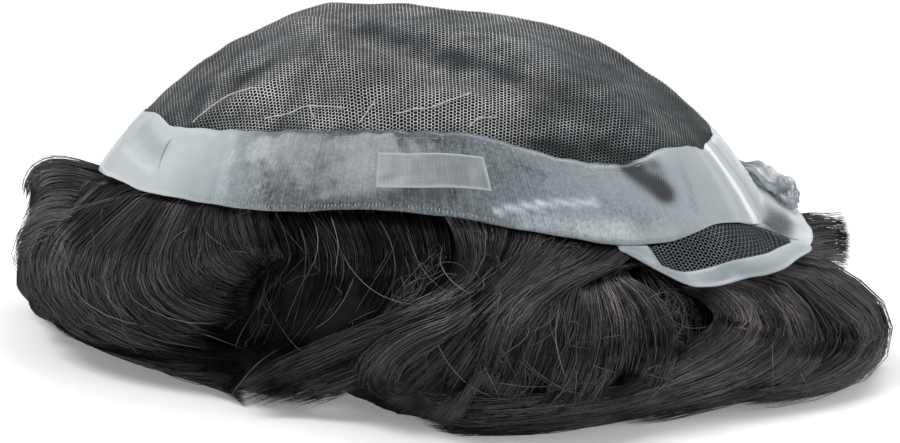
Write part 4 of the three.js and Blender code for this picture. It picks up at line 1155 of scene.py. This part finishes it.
def flat_place(angle, share):
    """Where a place of the lace lies when the lace is flat."""
    angle, share = np.broadcast_arrays(angle, share)
    length = [np.interp(x, ARC_SHARES, arcs)
              for x, arcs in zip(share.ravel(), arcs_at(angle.ravel()))]
    return polar(angle, np.reshape(length, angle.shape), 0)[..., :2]


def lace_marks_at(flat):
    """How much the marks' painted light and shade lighten places of the flat lace, and how much hazier they
    make them.
    """
    light, haze = 0, 0
    for mark in LACE_MARKS:
        start = flat_place(mark["from_at"], mark["from_share"])
        run_to = flat_place(mark["to_at"], mark["to_share"]) - start
        along = np.clip(((flat - start) @ run_to) / (run_to @ run_to), 0, 1)
        off = ((flat - start - along[..., None] * run_to) ** 2).sum(-1)
        fall = np.exp(-off / (1.3 * mark["wide"]) ** 2)
        light, haze = light + mark["light"] * fall, haze + mark["haze"] * fall
    return light, haze


def lace_sink(flat):
    """How far the net lies under the surface."""
    return NET_SINK + 0.2 * ripple(flat[..., 0], flat[..., 1], 11, shortest=10, longest=30)


def turned(points):
    """Places of the net's own pattern, whose wales are turned on the lace."""
    c, s = math.cos(math.radians(WALE_TURN)), math.sin(math.radians(WALE_TURN))
    return points @ np.array([[c, s], [-s, c]])


def make_lace(material):
    def inside(points):
        angle, length = lace_place(turned(points))
        return length < arcs_at(angle)[:, -1] - film_width(angle) + NET_TUCK

    reach = ARCS[:, -1].max()
    pattern, triangles = net_pattern(-reach, reach, -reach, reach, inside)
    points = turned(pattern)
    angle, length = lace_place(points)
    share = share_at(angle, length)
    points = points + 0.4 * np.stack([ripple(points[:, 0], points[:, 1], k, shortest=9, longest=45)
                                      for k in (13, 14)], -1)
    sink = lace_sink(points)
    placed = raised(base_point, angle, np.minimum(share, 1), -sink)
    hidden = arcs_at(angle)[:, -1] - film_width(angle) - length
    steep = np.clip((length / arcs_at(angle)[:, -1] - 0.35) / 0.3, 0, 1)
    light, haze = lace_marks_at(points)
    tone = 0.18 - 0.04 * steep + np.clip(0.2 - hidden / 10, 0, 0.5)
    tone = tone + 0.12 * ripple(points[:, 0], points[:, 1], 12)
    tone = tone + 0.08 * ripple(points[:, 0], points[:, 1], 15, shortest=2, longest=7)
    tone = tone + 0.42 * np.clip((points[:, 0] - 30) / 45, 0, 1)
    tone = tone + 0.34 * np.clip((-points[:, 0] - 35) / 35, 0, 1)
    # The marks' painted light and shade, and their haze.
    tone = tone - 1.35 * light + 0.3 * haze
    piece = keep(mesh_object("lace_net", placed, [triangles], material, pattern,
                             tone=np.clip(tone, 0, 1)),
                 "lace_net", "lace_cap")
    flat = (np.ptp(points[:, 0]), np.ptp(points[:, 1]))
    corners = points[triangles]
    sides = corners[:, 1:] - corners[:, :1]
    area = abs(sides[:, 0, 0] * sides[:, 1, 1] - sides[:, 0, 1] * sides[:, 1, 0]).sum() / 2
    return piece, flat, area


# The film

def rim_run(angle):
    """The length along the rim from the back to an angle."""
    fine = np.linspace(-180, 180, 1441)
    steps = np.linalg.norm(np.diff(base_point(fine, np.ones_like(fine)), axis=0), axis=1)
    return np.interp(angle, fine, np.concatenate([[0], np.cumsum(steps)]))


def marks_at(angle, v):
    """What the marks add at places of the film."""
    per_degree = rim_radius(angle) * math.radians(1)
    width = film_width(angle)
    added = {"light": 0, "grain": 0, "net": 0, "lift": 0}
    for mark in MARKS:
        run_at, run_down = mark["to_at"] - mark["from_at"], mark["to_down"] - mark["from_down"]
        off_at, off_down = angle - mark["from_at"], v - mark["from_down"]
        size = (run_at * per_degree) ** 2 + (run_down * width) ** 2
        along = np.clip((off_at * run_at * per_degree ** 2
                         + off_down * run_down * width ** 2) / size, 0, 1)
        off = ((off_at - along * run_at) * per_degree) ** 2
        off = off + ((off_down - along * run_down) * width) ** 2
        fall = np.exp(-(off / mark["wide"] ** 2) ** 1.5)
        for key in added:
            added[key] = added[key] + mark[key] * fall
    return added


def film_swell(along, across):
    """How the film rises and falls over its lengths."""
    waves = 0.2 * ripple(along, across, 23, shortest=12, longest=45)
    return waves + 0.06 * ripple(along, across, 24, shortest=3, longest=9)


def make_film(material):
    rows = 18
    pleated = np.linspace(-14, 14, 94, endpoint=False)
    angle = np.concatenate([np.linspace(-180, -14, 240, endpoint=False), pleated,
                            np.linspace(14, 180, 240, endpoint=False)])[None, :]
    v = np.linspace(0, 1, rows)[:, None] + 0 * angle
    angles = angle + 0 * v
    along = rim_run(angles)
    top_cut = 0.35 * ripple(along[:1], 0, 21, shortest=4, longest=30)
    low_cut = 0.25 * ripple(along[:1], 0, 22, shortest=5, longest=30)
    start = from_rim(angles, film_width(angle) + top_cut + 0 * v)
    share = start + (1 + low_cut * 0.004 - start) * v
    across = v * BAND_WIDTH
    marks = marks_at(angles, v)
    swell = film_swell(along, across) + marks["lift"]
    edge = np.minimum(v, 1 - v)
    swell = swell - 0.25 * np.exp(-(edge / 0.03) ** 2)
    upper = raised(base_point, angles, share, 0.3 + swell)
    lower = raised(base_point, angles, share, -0.12 + swell * 0.8)
    tone = round_table(FILM, "tone", angles) + marks["light"] + 0.05 * np.exp(-(edge / 0.02) ** 2)
    grain = np.clip(round_table(FILM, "grain", angles) + marks["grain"], 0, 1.5)
    uv = np.stack([along.ravel(), across.ravel()], -1)
    piece = wall_piece("film_strip", upper, lower, material, True, uv,
                       tone=tone, grain=grain, net=marks["net"])
    return keep(piece, "clear_film", "film_band")


def make_crack(material):
    """A fine crack in the film at the back."""
    t = np.linspace(0, 1, 30)
    at, down = run([p[0] for p in CRACK], t), run([p[1] for p in CRACK], t)
    path = raised(base_point, at, from_rim(at, film_width(at) * (1 - down)), np.full(len(t), 0.33))
    points, faces, _ = tubes(path[None], 0.09 * np.sin(np.pi * np.clip(t, 0.05, 1))[None] + 0.02, 5)
    return keep(mesh_object("film_crack", points, faces, material), "clear_film")


def lip_grid(at, inner, rows):
    v = inner + (1 - inner) * np.linspace(0, 1, rows)[:, None]
    return at[None, :] + 0 * v, v


def make_lip(film, net):
    at = np.concatenate([
        np.linspace(LIP_START, LACE_START - 0.2, 14),
        np.linspace(LACE_START, LACE_END, 90),
        np.linspace(LACE_END + 0.2, LIP_END, 90),
    ])
    cut = (at >= LACE_START) & (at <= LACE_END)
    inner = np.where(cut, LACE_SHARE, -0.04)[None, :]
    angles, v = lip_grid(at, inner, 18)
    along = np.radians(angles) * FRONT_REACH
    bead = 0.35 * np.exp(-((1 - v) / 0.07) ** 2)
    swell = bead + 0.15 * ripple(along, v * LIP_REACH, 31, shortest=5, longest=20)
    height = 0.15 + swell - 0.2 * np.exp(-((v - inner) / 0.05) ** 2)
    upper = raised(lip_face, angles, v, height)
    lower = raised(lip_face, angles, v, height - 0.5 - 0.3 * bead)
    hazy = np.exp(-((angles - 6) / 7.5) ** 4 - ((v - 0.3) / 0.34) ** 4)
    tone = 0.35 + 0.46 * np.clip((angles + 18) / 22, 0, 1)
    tone = tone + 0.05 * ripple(along, v * LIP_REACH, 32, shortest=8, longest=30)
    tone = tone + 0.25 * bead - 0.74 * hazy - 0.06 * np.exp(-((v - 0.84) / 0.12) ** 2)
    tone = tone + 0.1 * np.exp(-((v - inner) / 0.04) ** 2)
    grain = 0.2 + 1.1 * hazy
    uv = np.stack([along.ravel(), (v * LIP_REACH).ravel()], -1)
    lip = wall_piece("lip_film", upper, lower, film, False, uv, tone=tone, grain=grain, net=0 * v)
    keep(lip, "clear_film", "front_edge")

    per_degree = FRONT_REACH * math.radians(1)
    depth = 15.0

    def place(points):
        return points[:, 0] / per_degree, points[:, 1] / depth

    def inside(points):
        a, b = place(points)
        return (a > LACE_START - 1.5) & (a < LACE_END + 1.5) & (b > -0.03) & (b < LACE_SHARE + 0.12)

    points, triangles = net_pattern((LACE_START - 2) * per_degree, (LACE_END + 2) * per_degree,
                                    -1, depth, inside)
    a, b = place(points)
    placed = raised(lip_face, a, np.clip(b, -0.05, 1), np.full(len(a), -0.3))
    tone = np.full(len(points), 0.64)
    piece = keep(mesh_object("lip_net", placed, [triangles], net, points, tone=tone),
                 "lace_net", "front_lace")
    corners = points[triangles]
    sides = corners[:, 1:] - corners[:, :1]
    area = abs(sides[:, 0, 0] * sides[:, 1, 1] - sides[:, 0, 1] * sides[:, 1, 0]).sum() / 2
    return piece, (np.ptp(points[:, 0]), np.ptp(points[:, 1])), area


def make_roll(material):
    steps, sides = 90, 40
    t = np.linspace(0, 1, steps)
    size = ROLL_RADIUS * run(ROLL_SIZE, t) * (1 + 0.12 * np.sin(7 * np.pi * t))
    middle = raised(lip_face, run(ROLL_AT, t), run(ROLL_OUT, t), size * 1.25 + GAP)
    along = unit(np.gradient(middle, axis=0))
    outward = np.stack([middle[:, 0], middle[:, 1], np.full(steps, RIM_HEIGHT / 2)], -1)
    outward = unit(outward - (outward * along).sum(1)[:, None] * along)
    side = np.cross(outward, along)
    turn = np.linspace(0, 2 * np.pi, sides, endpoint=False)
    crease = 0.16 * np.sin(5 * turn[None, :] + 9 * t[:, None])
    crease = crease + 0.12 * np.sin(9 * turn[None, :] - 21 * t[:, None])
    crease = crease + 0.12 * ripple(turn[None, :] * 4, t[:, None] * 30, 41, shortest=3, longest=9)
    reach = size[:, None] * (1 + crease) * np.sin(np.clip(t * 14, 0, np.pi / 2))[:, None] ** 0.5
    ring = side[:, None] * (np.cos(turn)[None, :] * reach * 1.15)[..., None]
    ring = ring + outward[:, None] * (np.sin(turn)[None, :] * reach)[..., None]
    points = (middle[:, None] + ring).reshape(-1, 3)
    points = np.concatenate([points, middle[:1], middle[-1:]])
    k = np.arange(sides)
    n = (k + 1) % sides
    last = (steps - 1) * sides
    caps = np.concatenate([
        np.stack([np.full(sides, steps * sides), n, k], -1),
        np.stack([np.full(sides, steps * sides + 1), last + k, last + n], -1),
    ])
    faces = [grid_faces(steps, sides, ring=True), caps]
    return keep(mesh_object("rolled_film", points, faces, material), "clear_film", "rolled_edge")


def make_label(material):
    per_degree = np.linalg.norm(base_point(LABEL_AT + 0.5, 0.9) - base_point(LABEL_AT - 0.5, 0.9))
    half = LABEL_LENGTH / 2 / per_degree
    columns, rows = 84, 30
    angle = np.linspace(LABEL_AT - half, LABEL_AT + half, columns)[None, :]
    v = np.linspace(0, 1, rows)[:, None] + 0 * angle
    share = from_rim(angle + 0 * v, film_width(angle) - LABEL_SET_DOWN - LABEL_WIDTH * v)
    edge = np.minimum(np.minimum(v, 1 - v) * LABEL_WIDTH,
                      np.minimum(angle - angle[0, 0], angle[0, -1] - angle) * per_degree)
    bead = 0.1 * np.exp(-((edge - 0.5) / 0.22) ** 2) - 0.16 * np.exp(-(edge / 0.12) ** 2)
    down = LABEL_SET_DOWN + LABEL_WIDTH * v
    height = 0.62 + bead + film_swell(rim_run(angle + 0 * v), down / film_width(angle) * BAND_WIDTH)
    upper = raised(base_point, angle + 0 * v, share, height)
    lower = raised(base_point, angle + 0 * v, share, height - 0.42 - bead)
    uv = np.stack([((angle + 0 * v) * per_degree).ravel(), (v * LABEL_WIDTH).ravel()], -1)
    # A painted highlight along the edges.
    edge_highlight = np.exp(-(edge / 0.45) ** 2) + 0 * v
    return keep(wall_piece("label_patch", upper, lower, material, False, uv, edge=edge_highlight),
                "label_patch", "blank_label")


def make_threads(material):
    """The seam near the film's upper edge and the stitches near its lower one."""
    draw = np.random.default_rng(62)
    t = np.linspace(-0.5, 0.5, 5)[None, :]
    at = np.arange(-118, -22, 1.9)
    at = at[draw.random(len(at)) < 0.75][:, None]
    place = at + t * draw.uniform(0.8, 1.7, at.shape)
    share = from_rim(place, film_width(place) - 2.2
                     + 0.12 * ripple(place, 0, 61, shortest=3, longest=20))
    seam = raised(base_point, place, share, 0.38 + film_swell(rim_run(place), 2.2) + 0 * place)
    points, faces, _ = tubes(seam, np.full(seam.shape[:2], 0.075), 4)
    keep(mesh_object("seam_thread", points, faces, material), "lace_net")
    at = np.arange(-124, -50, 0.8)
    at = at[draw.random(len(at)) < 0.85][:, None]
    middle = 1.25 + draw.normal(0, 0.12, at.shape)
    place = at + t * draw.uniform(-0.1, 0.35, at.shape)
    high = middle + t * draw.uniform(0.7, 1.3, at.shape)
    swell = film_swell(rim_run(place), (1 - high / film_width(place)) * BAND_WIDTH)
    path = raised(base_point, place, from_rim(place, high), 0.32 + swell + 0.12 * np.cos(t * np.pi))
    points, faces, _ = tubes(path, np.full(path.shape[:2], 0.085), 4)
    keep(mesh_object("edge_stitches", points, faces, material), "lace_net")


PULLS = (
    ((-134, 0.83), (-130, 0.73), (-123, 0.69)),
    ((-115, 0.78), (-109, 0.76), (-103, 0.73), (-90, 0.74)),
    ((-103, 0.73), (-100, 0.77)),
    ((-76, 0.76), (-64, 0.72), (-52, 0.65)),
    ((-56, 0.77), (-52, 0.74), (-48, 0.73)),
    ((-86, 0.79), (-82, 0.72)),
)


def make_pulls(material):
    """Threads of the net that are pulled out of line."""
    t = np.linspace(0, 1, 40)
    paths = []
    for k, pull in enumerate(PULLS):
        at = run([p[0] for p in pull], t) + 0.15 * ripple(t * 30, 0, 70 + k, shortest=4, longest=12)
        share = run([p[1] for p in pull], t)
        share = share + 0.002 * ripple(t * 30, 0, 80 + k, shortest=4, longest=12)
        paths.append(raised(base_point, at, share, np.full(len(t), 0.12)))
    paths = np.array(paths)
    radii = np.full(paths.shape[:2], 0.13)
    points, faces, _ = tubes(paths, radii, 5)
    return keep(mesh_object("pulled_threads", points, faces, material), "lace_net")


# The hair

ROOT_INSET = 0.12
ROOT_DROP = 0.16
STATIONS = (0, 0.08, 0.35, 1)
COLUMNS = ("turn", "out", "end", "crest", "low", "wide", "thick")


def flow_rows(at):
    """The lock at each angle, between the rows of the table."""
    rows = {c: round_table(FLOW, c, at) for c in COLUMNS}
    rows["at"] = np.asarray(at, float)
    return rows


def swell(t):
    return (0.45 + 0.55 * np.sin(np.pi * (0.15 + 0.75 * t))) * (1 - 0.35 * t * t)


def lock_paths(rows, t):
    """Middle lines of locks, with their outward and sideways directions and half sizes."""
    at = [rows["at"] + s * rows["turn"] for s in STATIONS]
    out = [-ROOT_INSET * rim_radius(rows["at"]),
           0.7 * rows["out"] * HAIR_SPREAD, rows["out"] * HAIR_SPREAD,
           rows["end"] * HAIR_SPREAD]
    root_z = rim_z(rows["at"]) - ROOT_DROP * RIM_HEIGHT
    high = [root_z, rows["crest"] * RIM_HEIGHT, (rows["crest"] + rows["low"]) / 2.3 * RIM_HEIGHT,
            rows["low"] * RIM_HEIGHT]
    place = np.clip(t, 0, 1) * 3
    i = np.minimum(place.astype(int), 2)
    over = t * 3 - i

    def through(values):
        v = np.stack(values, -1)
        pad = np.concatenate([v[..., :1], v, v[..., -1:]], -1)

        def grab(k):
            table = pad[..., None, :] + 0 * over[..., None]
            picks = (i + k)[..., None] + 0 * pad[..., None, :1].astype(int)
            return np.take_along_axis(table, picks, -1)[..., 0]

        return smooth(grab(0), grab(1), grab(2), grab(3), over)

    angle = through(at)
    middle = polar(angle, rim_radius(angle) + through(out), through(high))
    along = unit(np.gradient(middle, axis=-2))
    outward = np.stack([middle[..., 0], middle[..., 1],
                        np.full(middle.shape[:-1], RIM_HEIGHT / 2)], -1)
    outward = unit(outward - (outward * along).sum(-1)[..., None] * along)
    side = np.cross(outward, along)
    grow = swell(np.clip(t, 0, 1))
    wide = LOCK_WIDTH / 2 * rows["wide"][..., None] * grow
    thick = LOCK_THICKNESS / 2 * rows["thick"][..., None] * grow
    return middle, outward, side, wide, thick


MASS_GRAIN = 2.4  # size of the faces of the hair's inside
MASS_SINK = 3.0  # how far it lies under the solid's surface
MASS_SINK_LOW, MASS_LOW = 1.4, 12.0  # and at the ground, up to a height


def make_mass(material):
    """The inside of the hair, darker than the strands as painted shade: the solid's form, softened and
    drawn in under the strands.
    """
    source = bpy.data.objects.new("mass_source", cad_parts["hair"].data.copy())
    bpy.context.scene.collection.objects.link(source)
    grain = source.modifiers.new("grain", "REMESH")
    grain.mode = "VOXEL"
    grain.voxel_size = MASS_GRAIN * MM
    soften = source.modifiers.new("soften", "SMOOTH")
    soften.factor = 0.8
    soften.iterations = 5
    shape = source.evaluated_get(bpy.context.evaluated_depsgraph_get()).to_mesh()
    count = len(shape.vertices)
    points, normals = np.empty(count * 3), np.empty(count * 3)
    shape.vertices.foreach_get("co", points)
    shape.vertices.foreach_get("normal", normals)
    quads = np.array([list(face.vertices) for face in shape.polygons])
    points = points.reshape(-1, 3) / MM
    sink = MASS_SINK_LOW + (MASS_SINK - MASS_SINK_LOW) * np.clip(points[:, 2:] / MASS_LOW, 0, 1)
    points = points - normals.reshape(-1, 3) * sink
    points[:, 2] = np.maximum(points[:, 2], 0.2)
    bpy.data.objects.remove(source)
    return keep(mesh_object("hair_mass", points, [quads], material), "hair_strands", "hair")


def make_roots(material):
    """The hair close under the net, as it shows through the holes."""
    columns, rows = 120, 40
    angle = np.linspace(-180, 180, columns, endpoint=False)[None, :]
    share = np.linspace(0.01, 1, rows)[:, None] ** 0.8 * 0.985
    angles, shares = angle + 0 * share, share + 0 * angle
    flat = flat_place(angles, shares)
    sink = lace_sink(flat)
    points = raised(base_point, angles, shares, -sink - 0.22)
    under = raised(base_point, angles, shares, -sink - 0.7)
    _, haze = lace_marks_at(flat)
    piece = wall_piece("hair_roots", points, under, material, True, flat.reshape(-1, 2),
                       tone=np.clip(haze, 0, 1))
    return keep(piece, "hair_strands")


STRAND_STEPS = 11
STRAND_RADIUS = 0.15
# Shares of strands: loose ones, lying deeper and painted darker as shade, and lit ones, painted lighter as
# highlights on single strands.
LOOSE_SHARE, LIT_SHARE = 0.4, 0.15
PIECE_STRANDS = 2400
ROOT_IN, ROOT_UNDER = 7.0, 2.5  # where the roots are hidden: in from the rim, and under it
BACK_CLUMPS, BACK_STRANDS = 90, 26
BACK_FROM, BACK_TO = 36.0, 168.0


def through_points(points, steps):
    """Smooth lines through rows of points, each with the same number of steps."""
    last = points.shape[1] - 1
    place = np.linspace(0, last, steps)
    i = np.minimum(place.astype(int), last - 1)
    a, b, c, d = (points[:, np.clip(i + k, 0, last)] for k in (-1, 0, 1, 2))
    return smooth(a, b, c, d, (place - i)[None, :, None])


def line_points(line, rooted=False):
    """A traced line as points. One that comes out from under the rim starts inside it."""
    if rooted:
        angle, reach, high = line[0]
        line = ((angle, min(reach, 0) - ROOT_IN, high - ROOT_UNDER), *line)
    angle, reach, high = np.array(line).T
    return through_points(polar(angle, rim_radius(angle) + reach, high)[None], STRAND_STEPS)[0]


def sheet_lines(name, rooted):
    return np.array([line_points(line, rooted) for line in LINES[name]])


def frame_of(lines):
    """The outward and the sideways direction along lines."""
    along = unit(np.gradient(lines, axis=-2))
    outward = lines * np.array([1, 1, 0]) + np.array([0, 0, RIM_HEIGHT / 2])
    outward = unit(outward - (outward * along).sum(-1, keepdims=True) * along)
    return outward, np.cross(outward, along)


def at_lines(values, place):
    """Values between the lines, at places across them that may change along the strand."""
    t = np.linspace(0, 1, values.shape[1])[None, :]
    place = np.clip(place, -0.5 * t, len(values) - 1 + 0.5 * t)
    i = np.clip(np.floor(place).astype(int), 0, len(values) - 2)
    f = (place - i)[..., None]
    k = np.arange(values.shape[1])[None, :]
    return values[i, k] * (1 - f) + values[i + 1, k] * f


def sheet_strands(sheet, draw):
    """Strands that fill a sheet, gathered in clumps that close up towards their tips."""
    lines = sheet_lines(sheet["name"], sheet["rooted"])
    outward, side = frame_of(lines)
    drift = draw.normal(0, 0.2, (sheet["strands"], 1))
    count, clumps = sheet["strands"], sheet["clumps"]
    t = np.linspace(0, 1, STRAND_STEPS)[None, :]
    middles = (np.arange(clumps) + draw.uniform(0.1, 0.9, clumps)) / clumps * (len(lines) - 1)
    depths = draw.random(clumps) ** 1.5
    phases, sways = draw.uniform(0, 2 * np.pi, clumps), draw.uniform(0.3, 1.3, clumps)
    tones = draw.normal(0.02, 0.2, clumps)
    clump = draw.integers(0, clumps, count)
    loose = draw.random(count) < LOOSE_SHARE
    wide = sheet["root"] + (sheet["tip"] - sheet["root"]) * np.sin(t * np.pi / 2)
    place = middles[clump, None] + draw.normal(0, 1, (count, 1)) * wide * draw.uniform(0.7, 1.3, (count, 1))
    place = place + drift * t
    spread = draw.uniform(-0.3, len(lines) - 0.7, (count, 1)) + draw.normal(0, 0.3, (count, 1)) * t
    place = np.where(loose[:, None], spread, place)
    deep = (0.5 * depths[clump] + 0.5 * draw.random(count)) * sheet["deep"]
    deep = np.where(loose, (0.45 + 0.4 * draw.random(count)) * sheet["deep"], deep)
    deep = deep[:, None] * (1 - 0.35 * t)
    sway = sways[clump, None] * np.sin(2 * np.pi * 1.1 * t + phases[clump, None]) * t
    own = np.abs(draw.normal(0, 1, (count, 1))) * sheet["frizz"]
    own = own * np.sin(2 * np.pi * draw.uniform(0.6, 2.0, (count, 1)) * t
                       + draw.uniform(0, 2 * np.pi, (count, 1))) * t
    lift = draw.normal(0, 0.25, (count, 1)) * sheet["frizz"] * t
    path = at_lines(lines, place)
    path = path + at_lines(side, place) * (sway + own)[..., None]
    path = path + at_lines(outward, place) * (lift + 0.6 - deep)[..., None]
    reach = np.where(draw.random(count) < 0.3, draw.uniform(0.6, 0.95, count),
                     draw.uniform(0.93, 1.0, count))
    # Tone: the sheet's painted light and shade, the clumps' own random tones, and loose strands darker as
    # painted shade, since they lie deeper.
    tone = 0.44 + sheet["light"] + np.where(loose,
                                            -0.08, tones[clump]) + draw.normal(0, 0.16, count)
    # Deeper strands darker still (painted shade); a share lighter (painted highlights on single strands).
    tone = tone - 0.4 * deep[:, 0] / 5 + 0.42 * (draw.random(count) < LIT_SHARE)
    return trimmed(path, reach), np.clip(tone, 0, 0.9)


def stray_strands(draw):
    """Single light strands: those of the table, and loose ones that cross the sheets."""
    paths, tones = [], []
    for k, line in enumerate(STRAY_LINES):
        paths.append(line_points(line)[None])
        tones.append([0.86 + 0.14 * draw.random() ** (0.4 if k < 8 else 1.5)])
    rooted = {sheet["name"]: sheet["rooted"] for sheet in SHEETS}
    t = np.linspace(0, 1, STRAND_STEPS)[None, :]
    steps = np.arange(STRAND_STEPS)
    for row in TANGLES:
        count = row["strands"]
        lines = sheet_lines(row["name"], rooted[row["name"]])
        outward = frame_of(lines)[0]
        ends = draw.uniform(row["from_line"], row["to_line"], (2, count, 1))
        ends[1] = ends[0] + np.clip(ends[1] - ends[0], -row["across"], row["across"])
        downs = draw.uniform(row["from_down"], row["to_down"], (2, count, 1))
        place = ends[0] + (ends[1] - ends[0]) * t
        place = place + draw.normal(0, 0.5, (count, 1)) * np.sin(np.pi * t)
        down = np.clip(downs[0] + (downs[1] - downs[0]) * t, 0, 1) * (STRAND_STEPS - 1)
        i = np.minimum(down.astype(int), STRAND_STEPS - 2)
        f = (down - i)[..., None]
        whole = at_lines(lines + outward * 0.9,
                         np.repeat(place.reshape(-1, 1), STRAND_STEPS, axis=1))
        whole = whole.reshape(count, STRAND_STEPS, STRAND_STEPS, 3)
        k = np.arange(count)[:, None]
        path = whole[k, steps[None, :], i] * (1 - f) + whole[k, steps[None, :], i + 1] * f
        path[..., 2] += draw.uniform(0, 2.0, (count, 1)) * np.sin(np.pi * t)
        paths.append(path)
        tones.append(np.where(draw.random(count) < 0.35,
                              draw.uniform(0.82, 0.89, count), draw.uniform(0.5, 0.82, count)))
    return np.concatenate(paths), np.concatenate(tones)


def back_strands(draw):
    """Strands of the far side, in clumps that follow the locks there."""
    at = draw.uniform(BACK_FROM, BACK_TO, BACK_CLUMPS)
    rows = flow_rows(at)
    rows["turn"] = rows["turn"] + draw.normal(0, 6.0, BACK_CLUMPS)
    rows["out"] = rows["out"] + draw.normal(0, 0.05, BACK_CLUMPS)
    rows["end"] = rows["end"] + draw.normal(0, 0.08, BACK_CLUMPS)
    t = np.tile(np.linspace(0, 1, STRAND_STEPS), (BACK_CLUMPS, 1))
    middle, outward, side, _, thick = lock_paths(rows, t)
    layer = 1 - 0.5 * draw.random((BACK_CLUMPS, 1)) ** 2
    middle = middle + outward * (layer * thick)[..., None]
    size = (BACK_CLUMPS, BACK_STRANDS, 1)
    gather = 1.2 - 0.8 * t[:, None] ** 1.5
    sway = draw.uniform(0.5, 2.4, (BACK_CLUMPS, 1, 1)) * np.sin(2 * np.pi * t[:, None]
                                                                + draw.uniform(0, 6, (BACK_CLUMPS, 1, 1)))
    off = draw.normal(0, 2.6, size) * gather + sway * t[:, None]
    down = draw.normal(0, 1.0, size) * gather
    path = middle[:, None] + side[:, None] * off[..., None] + outward[:, None] * down[..., None]
    path = trimmed(path.reshape(-1, STRAND_STEPS, 3),
                   draw.uniform(0.8, 1.0, BACK_CLUMPS * BACK_STRANDS))
    return path, np.clip(draw.normal(0.36, 0.14, len(path)), 0, 0.8)


def trimmed(paths, reach):
    """Paths cut to a share of their length, with as many steps as before."""
    steps = paths.shape[1]
    place = np.linspace(0, 1, steps)[None, :] * reach[:, None] * (steps - 1)
    i = np.minimum(place.astype(int), steps - 2)
    f = (place - i)[..., None]
    k = np.arange(len(paths))[:, None]
    return paths[k, i] * (1 - f) + paths[k, i + 1] * f


def painted_shade_and_highlight_at(points):
    """How much the painted shade darkens and the painted highlights lighten the hair at places."""
    added = np.zeros(len(points))
    for angle, reach, high, size, amount in PAINTED_SHADE_AND_HIGHLIGHTS:
        middle = polar(angle, rim_radius(angle) + reach, high)
        added += amount * np.exp(-((points - middle) ** 2).sum(-1) / size ** 2)
    return added


HAIR_SEED = 7
# No strand goes lower than this over the floor, in millimetres.
FLOOR_GAP = 0.3
TUBE_SIDES = 3
# A strand lighter than this tone is drawn thinner, by this share.
BRIGHT_TONE, BRIGHT_SHARE = 0.72, 0.7
STRAY_THIN, STRAY_THICK = 0.08, 0.125


def strand_piece(name, paths, tone, radius, material):
    paths = paths.copy()
    paths[..., 2] = np.maximum(paths[..., 2], FLOOR_GAP)
    t = np.linspace(0, 1, paths.shape[1])
    radii = radius[:, None] * (1 - 0.6 * t[None, :] ** 2)
    points, faces, size = tubes(paths, radii, TUBE_SIDES)
    # The painted shade and highlights, added to each point's tone.
    tone = np.clip(np.repeat(tone, size) + painted_shade_and_highlight_at(points), 0, 1)
    return keep(mesh_object(name, points, faces, material, tone=tone), "hair_strands")


def make_hair(material):
    draw = np.random.default_rng(HAIR_SEED)
    made = [sheet_strands(sheet, draw) for sheet in SHEETS] + [back_strands(draw)]
    paths, tone = (np.concatenate(part) for part in zip(*made))
    radius = STRAND_RADIUS * draw.uniform(0.75, 1.15, len(paths))
    radius = radius * np.where(tone > BRIGHT_TONE, BRIGHT_SHARE, 1)
    for k, start in enumerate(range(0, len(paths), PIECE_STRANDS)):
        part = slice(start, start + PIECE_STRANDS)
        strand_piece(f"hair_strands_{k + 1}", paths[part], tone[part], radius[part], material)
    paths, tone = stray_strands(draw)
    radius = draw.uniform(STRAY_THIN, STRAY_THICK, len(paths))
    strand_piece("hair_strays", paths, tone, radius, material)


make_camera()
make_studio()
net, film, thread, strand = net_material(), film_material(), thread_material(), strand_material()
lace, lace_flat, lace_area = make_lace(net)
make_film(film)
lip_net, lip_flat, lip_area = make_lip(film, net)
make_roll(roll_material())
make_label(label_material())
make_threads(thread)
make_crack(crack_material())
make_pulls(thread)
make_mass(mass_material())
make_roots(roots_material())
make_hair(strand)
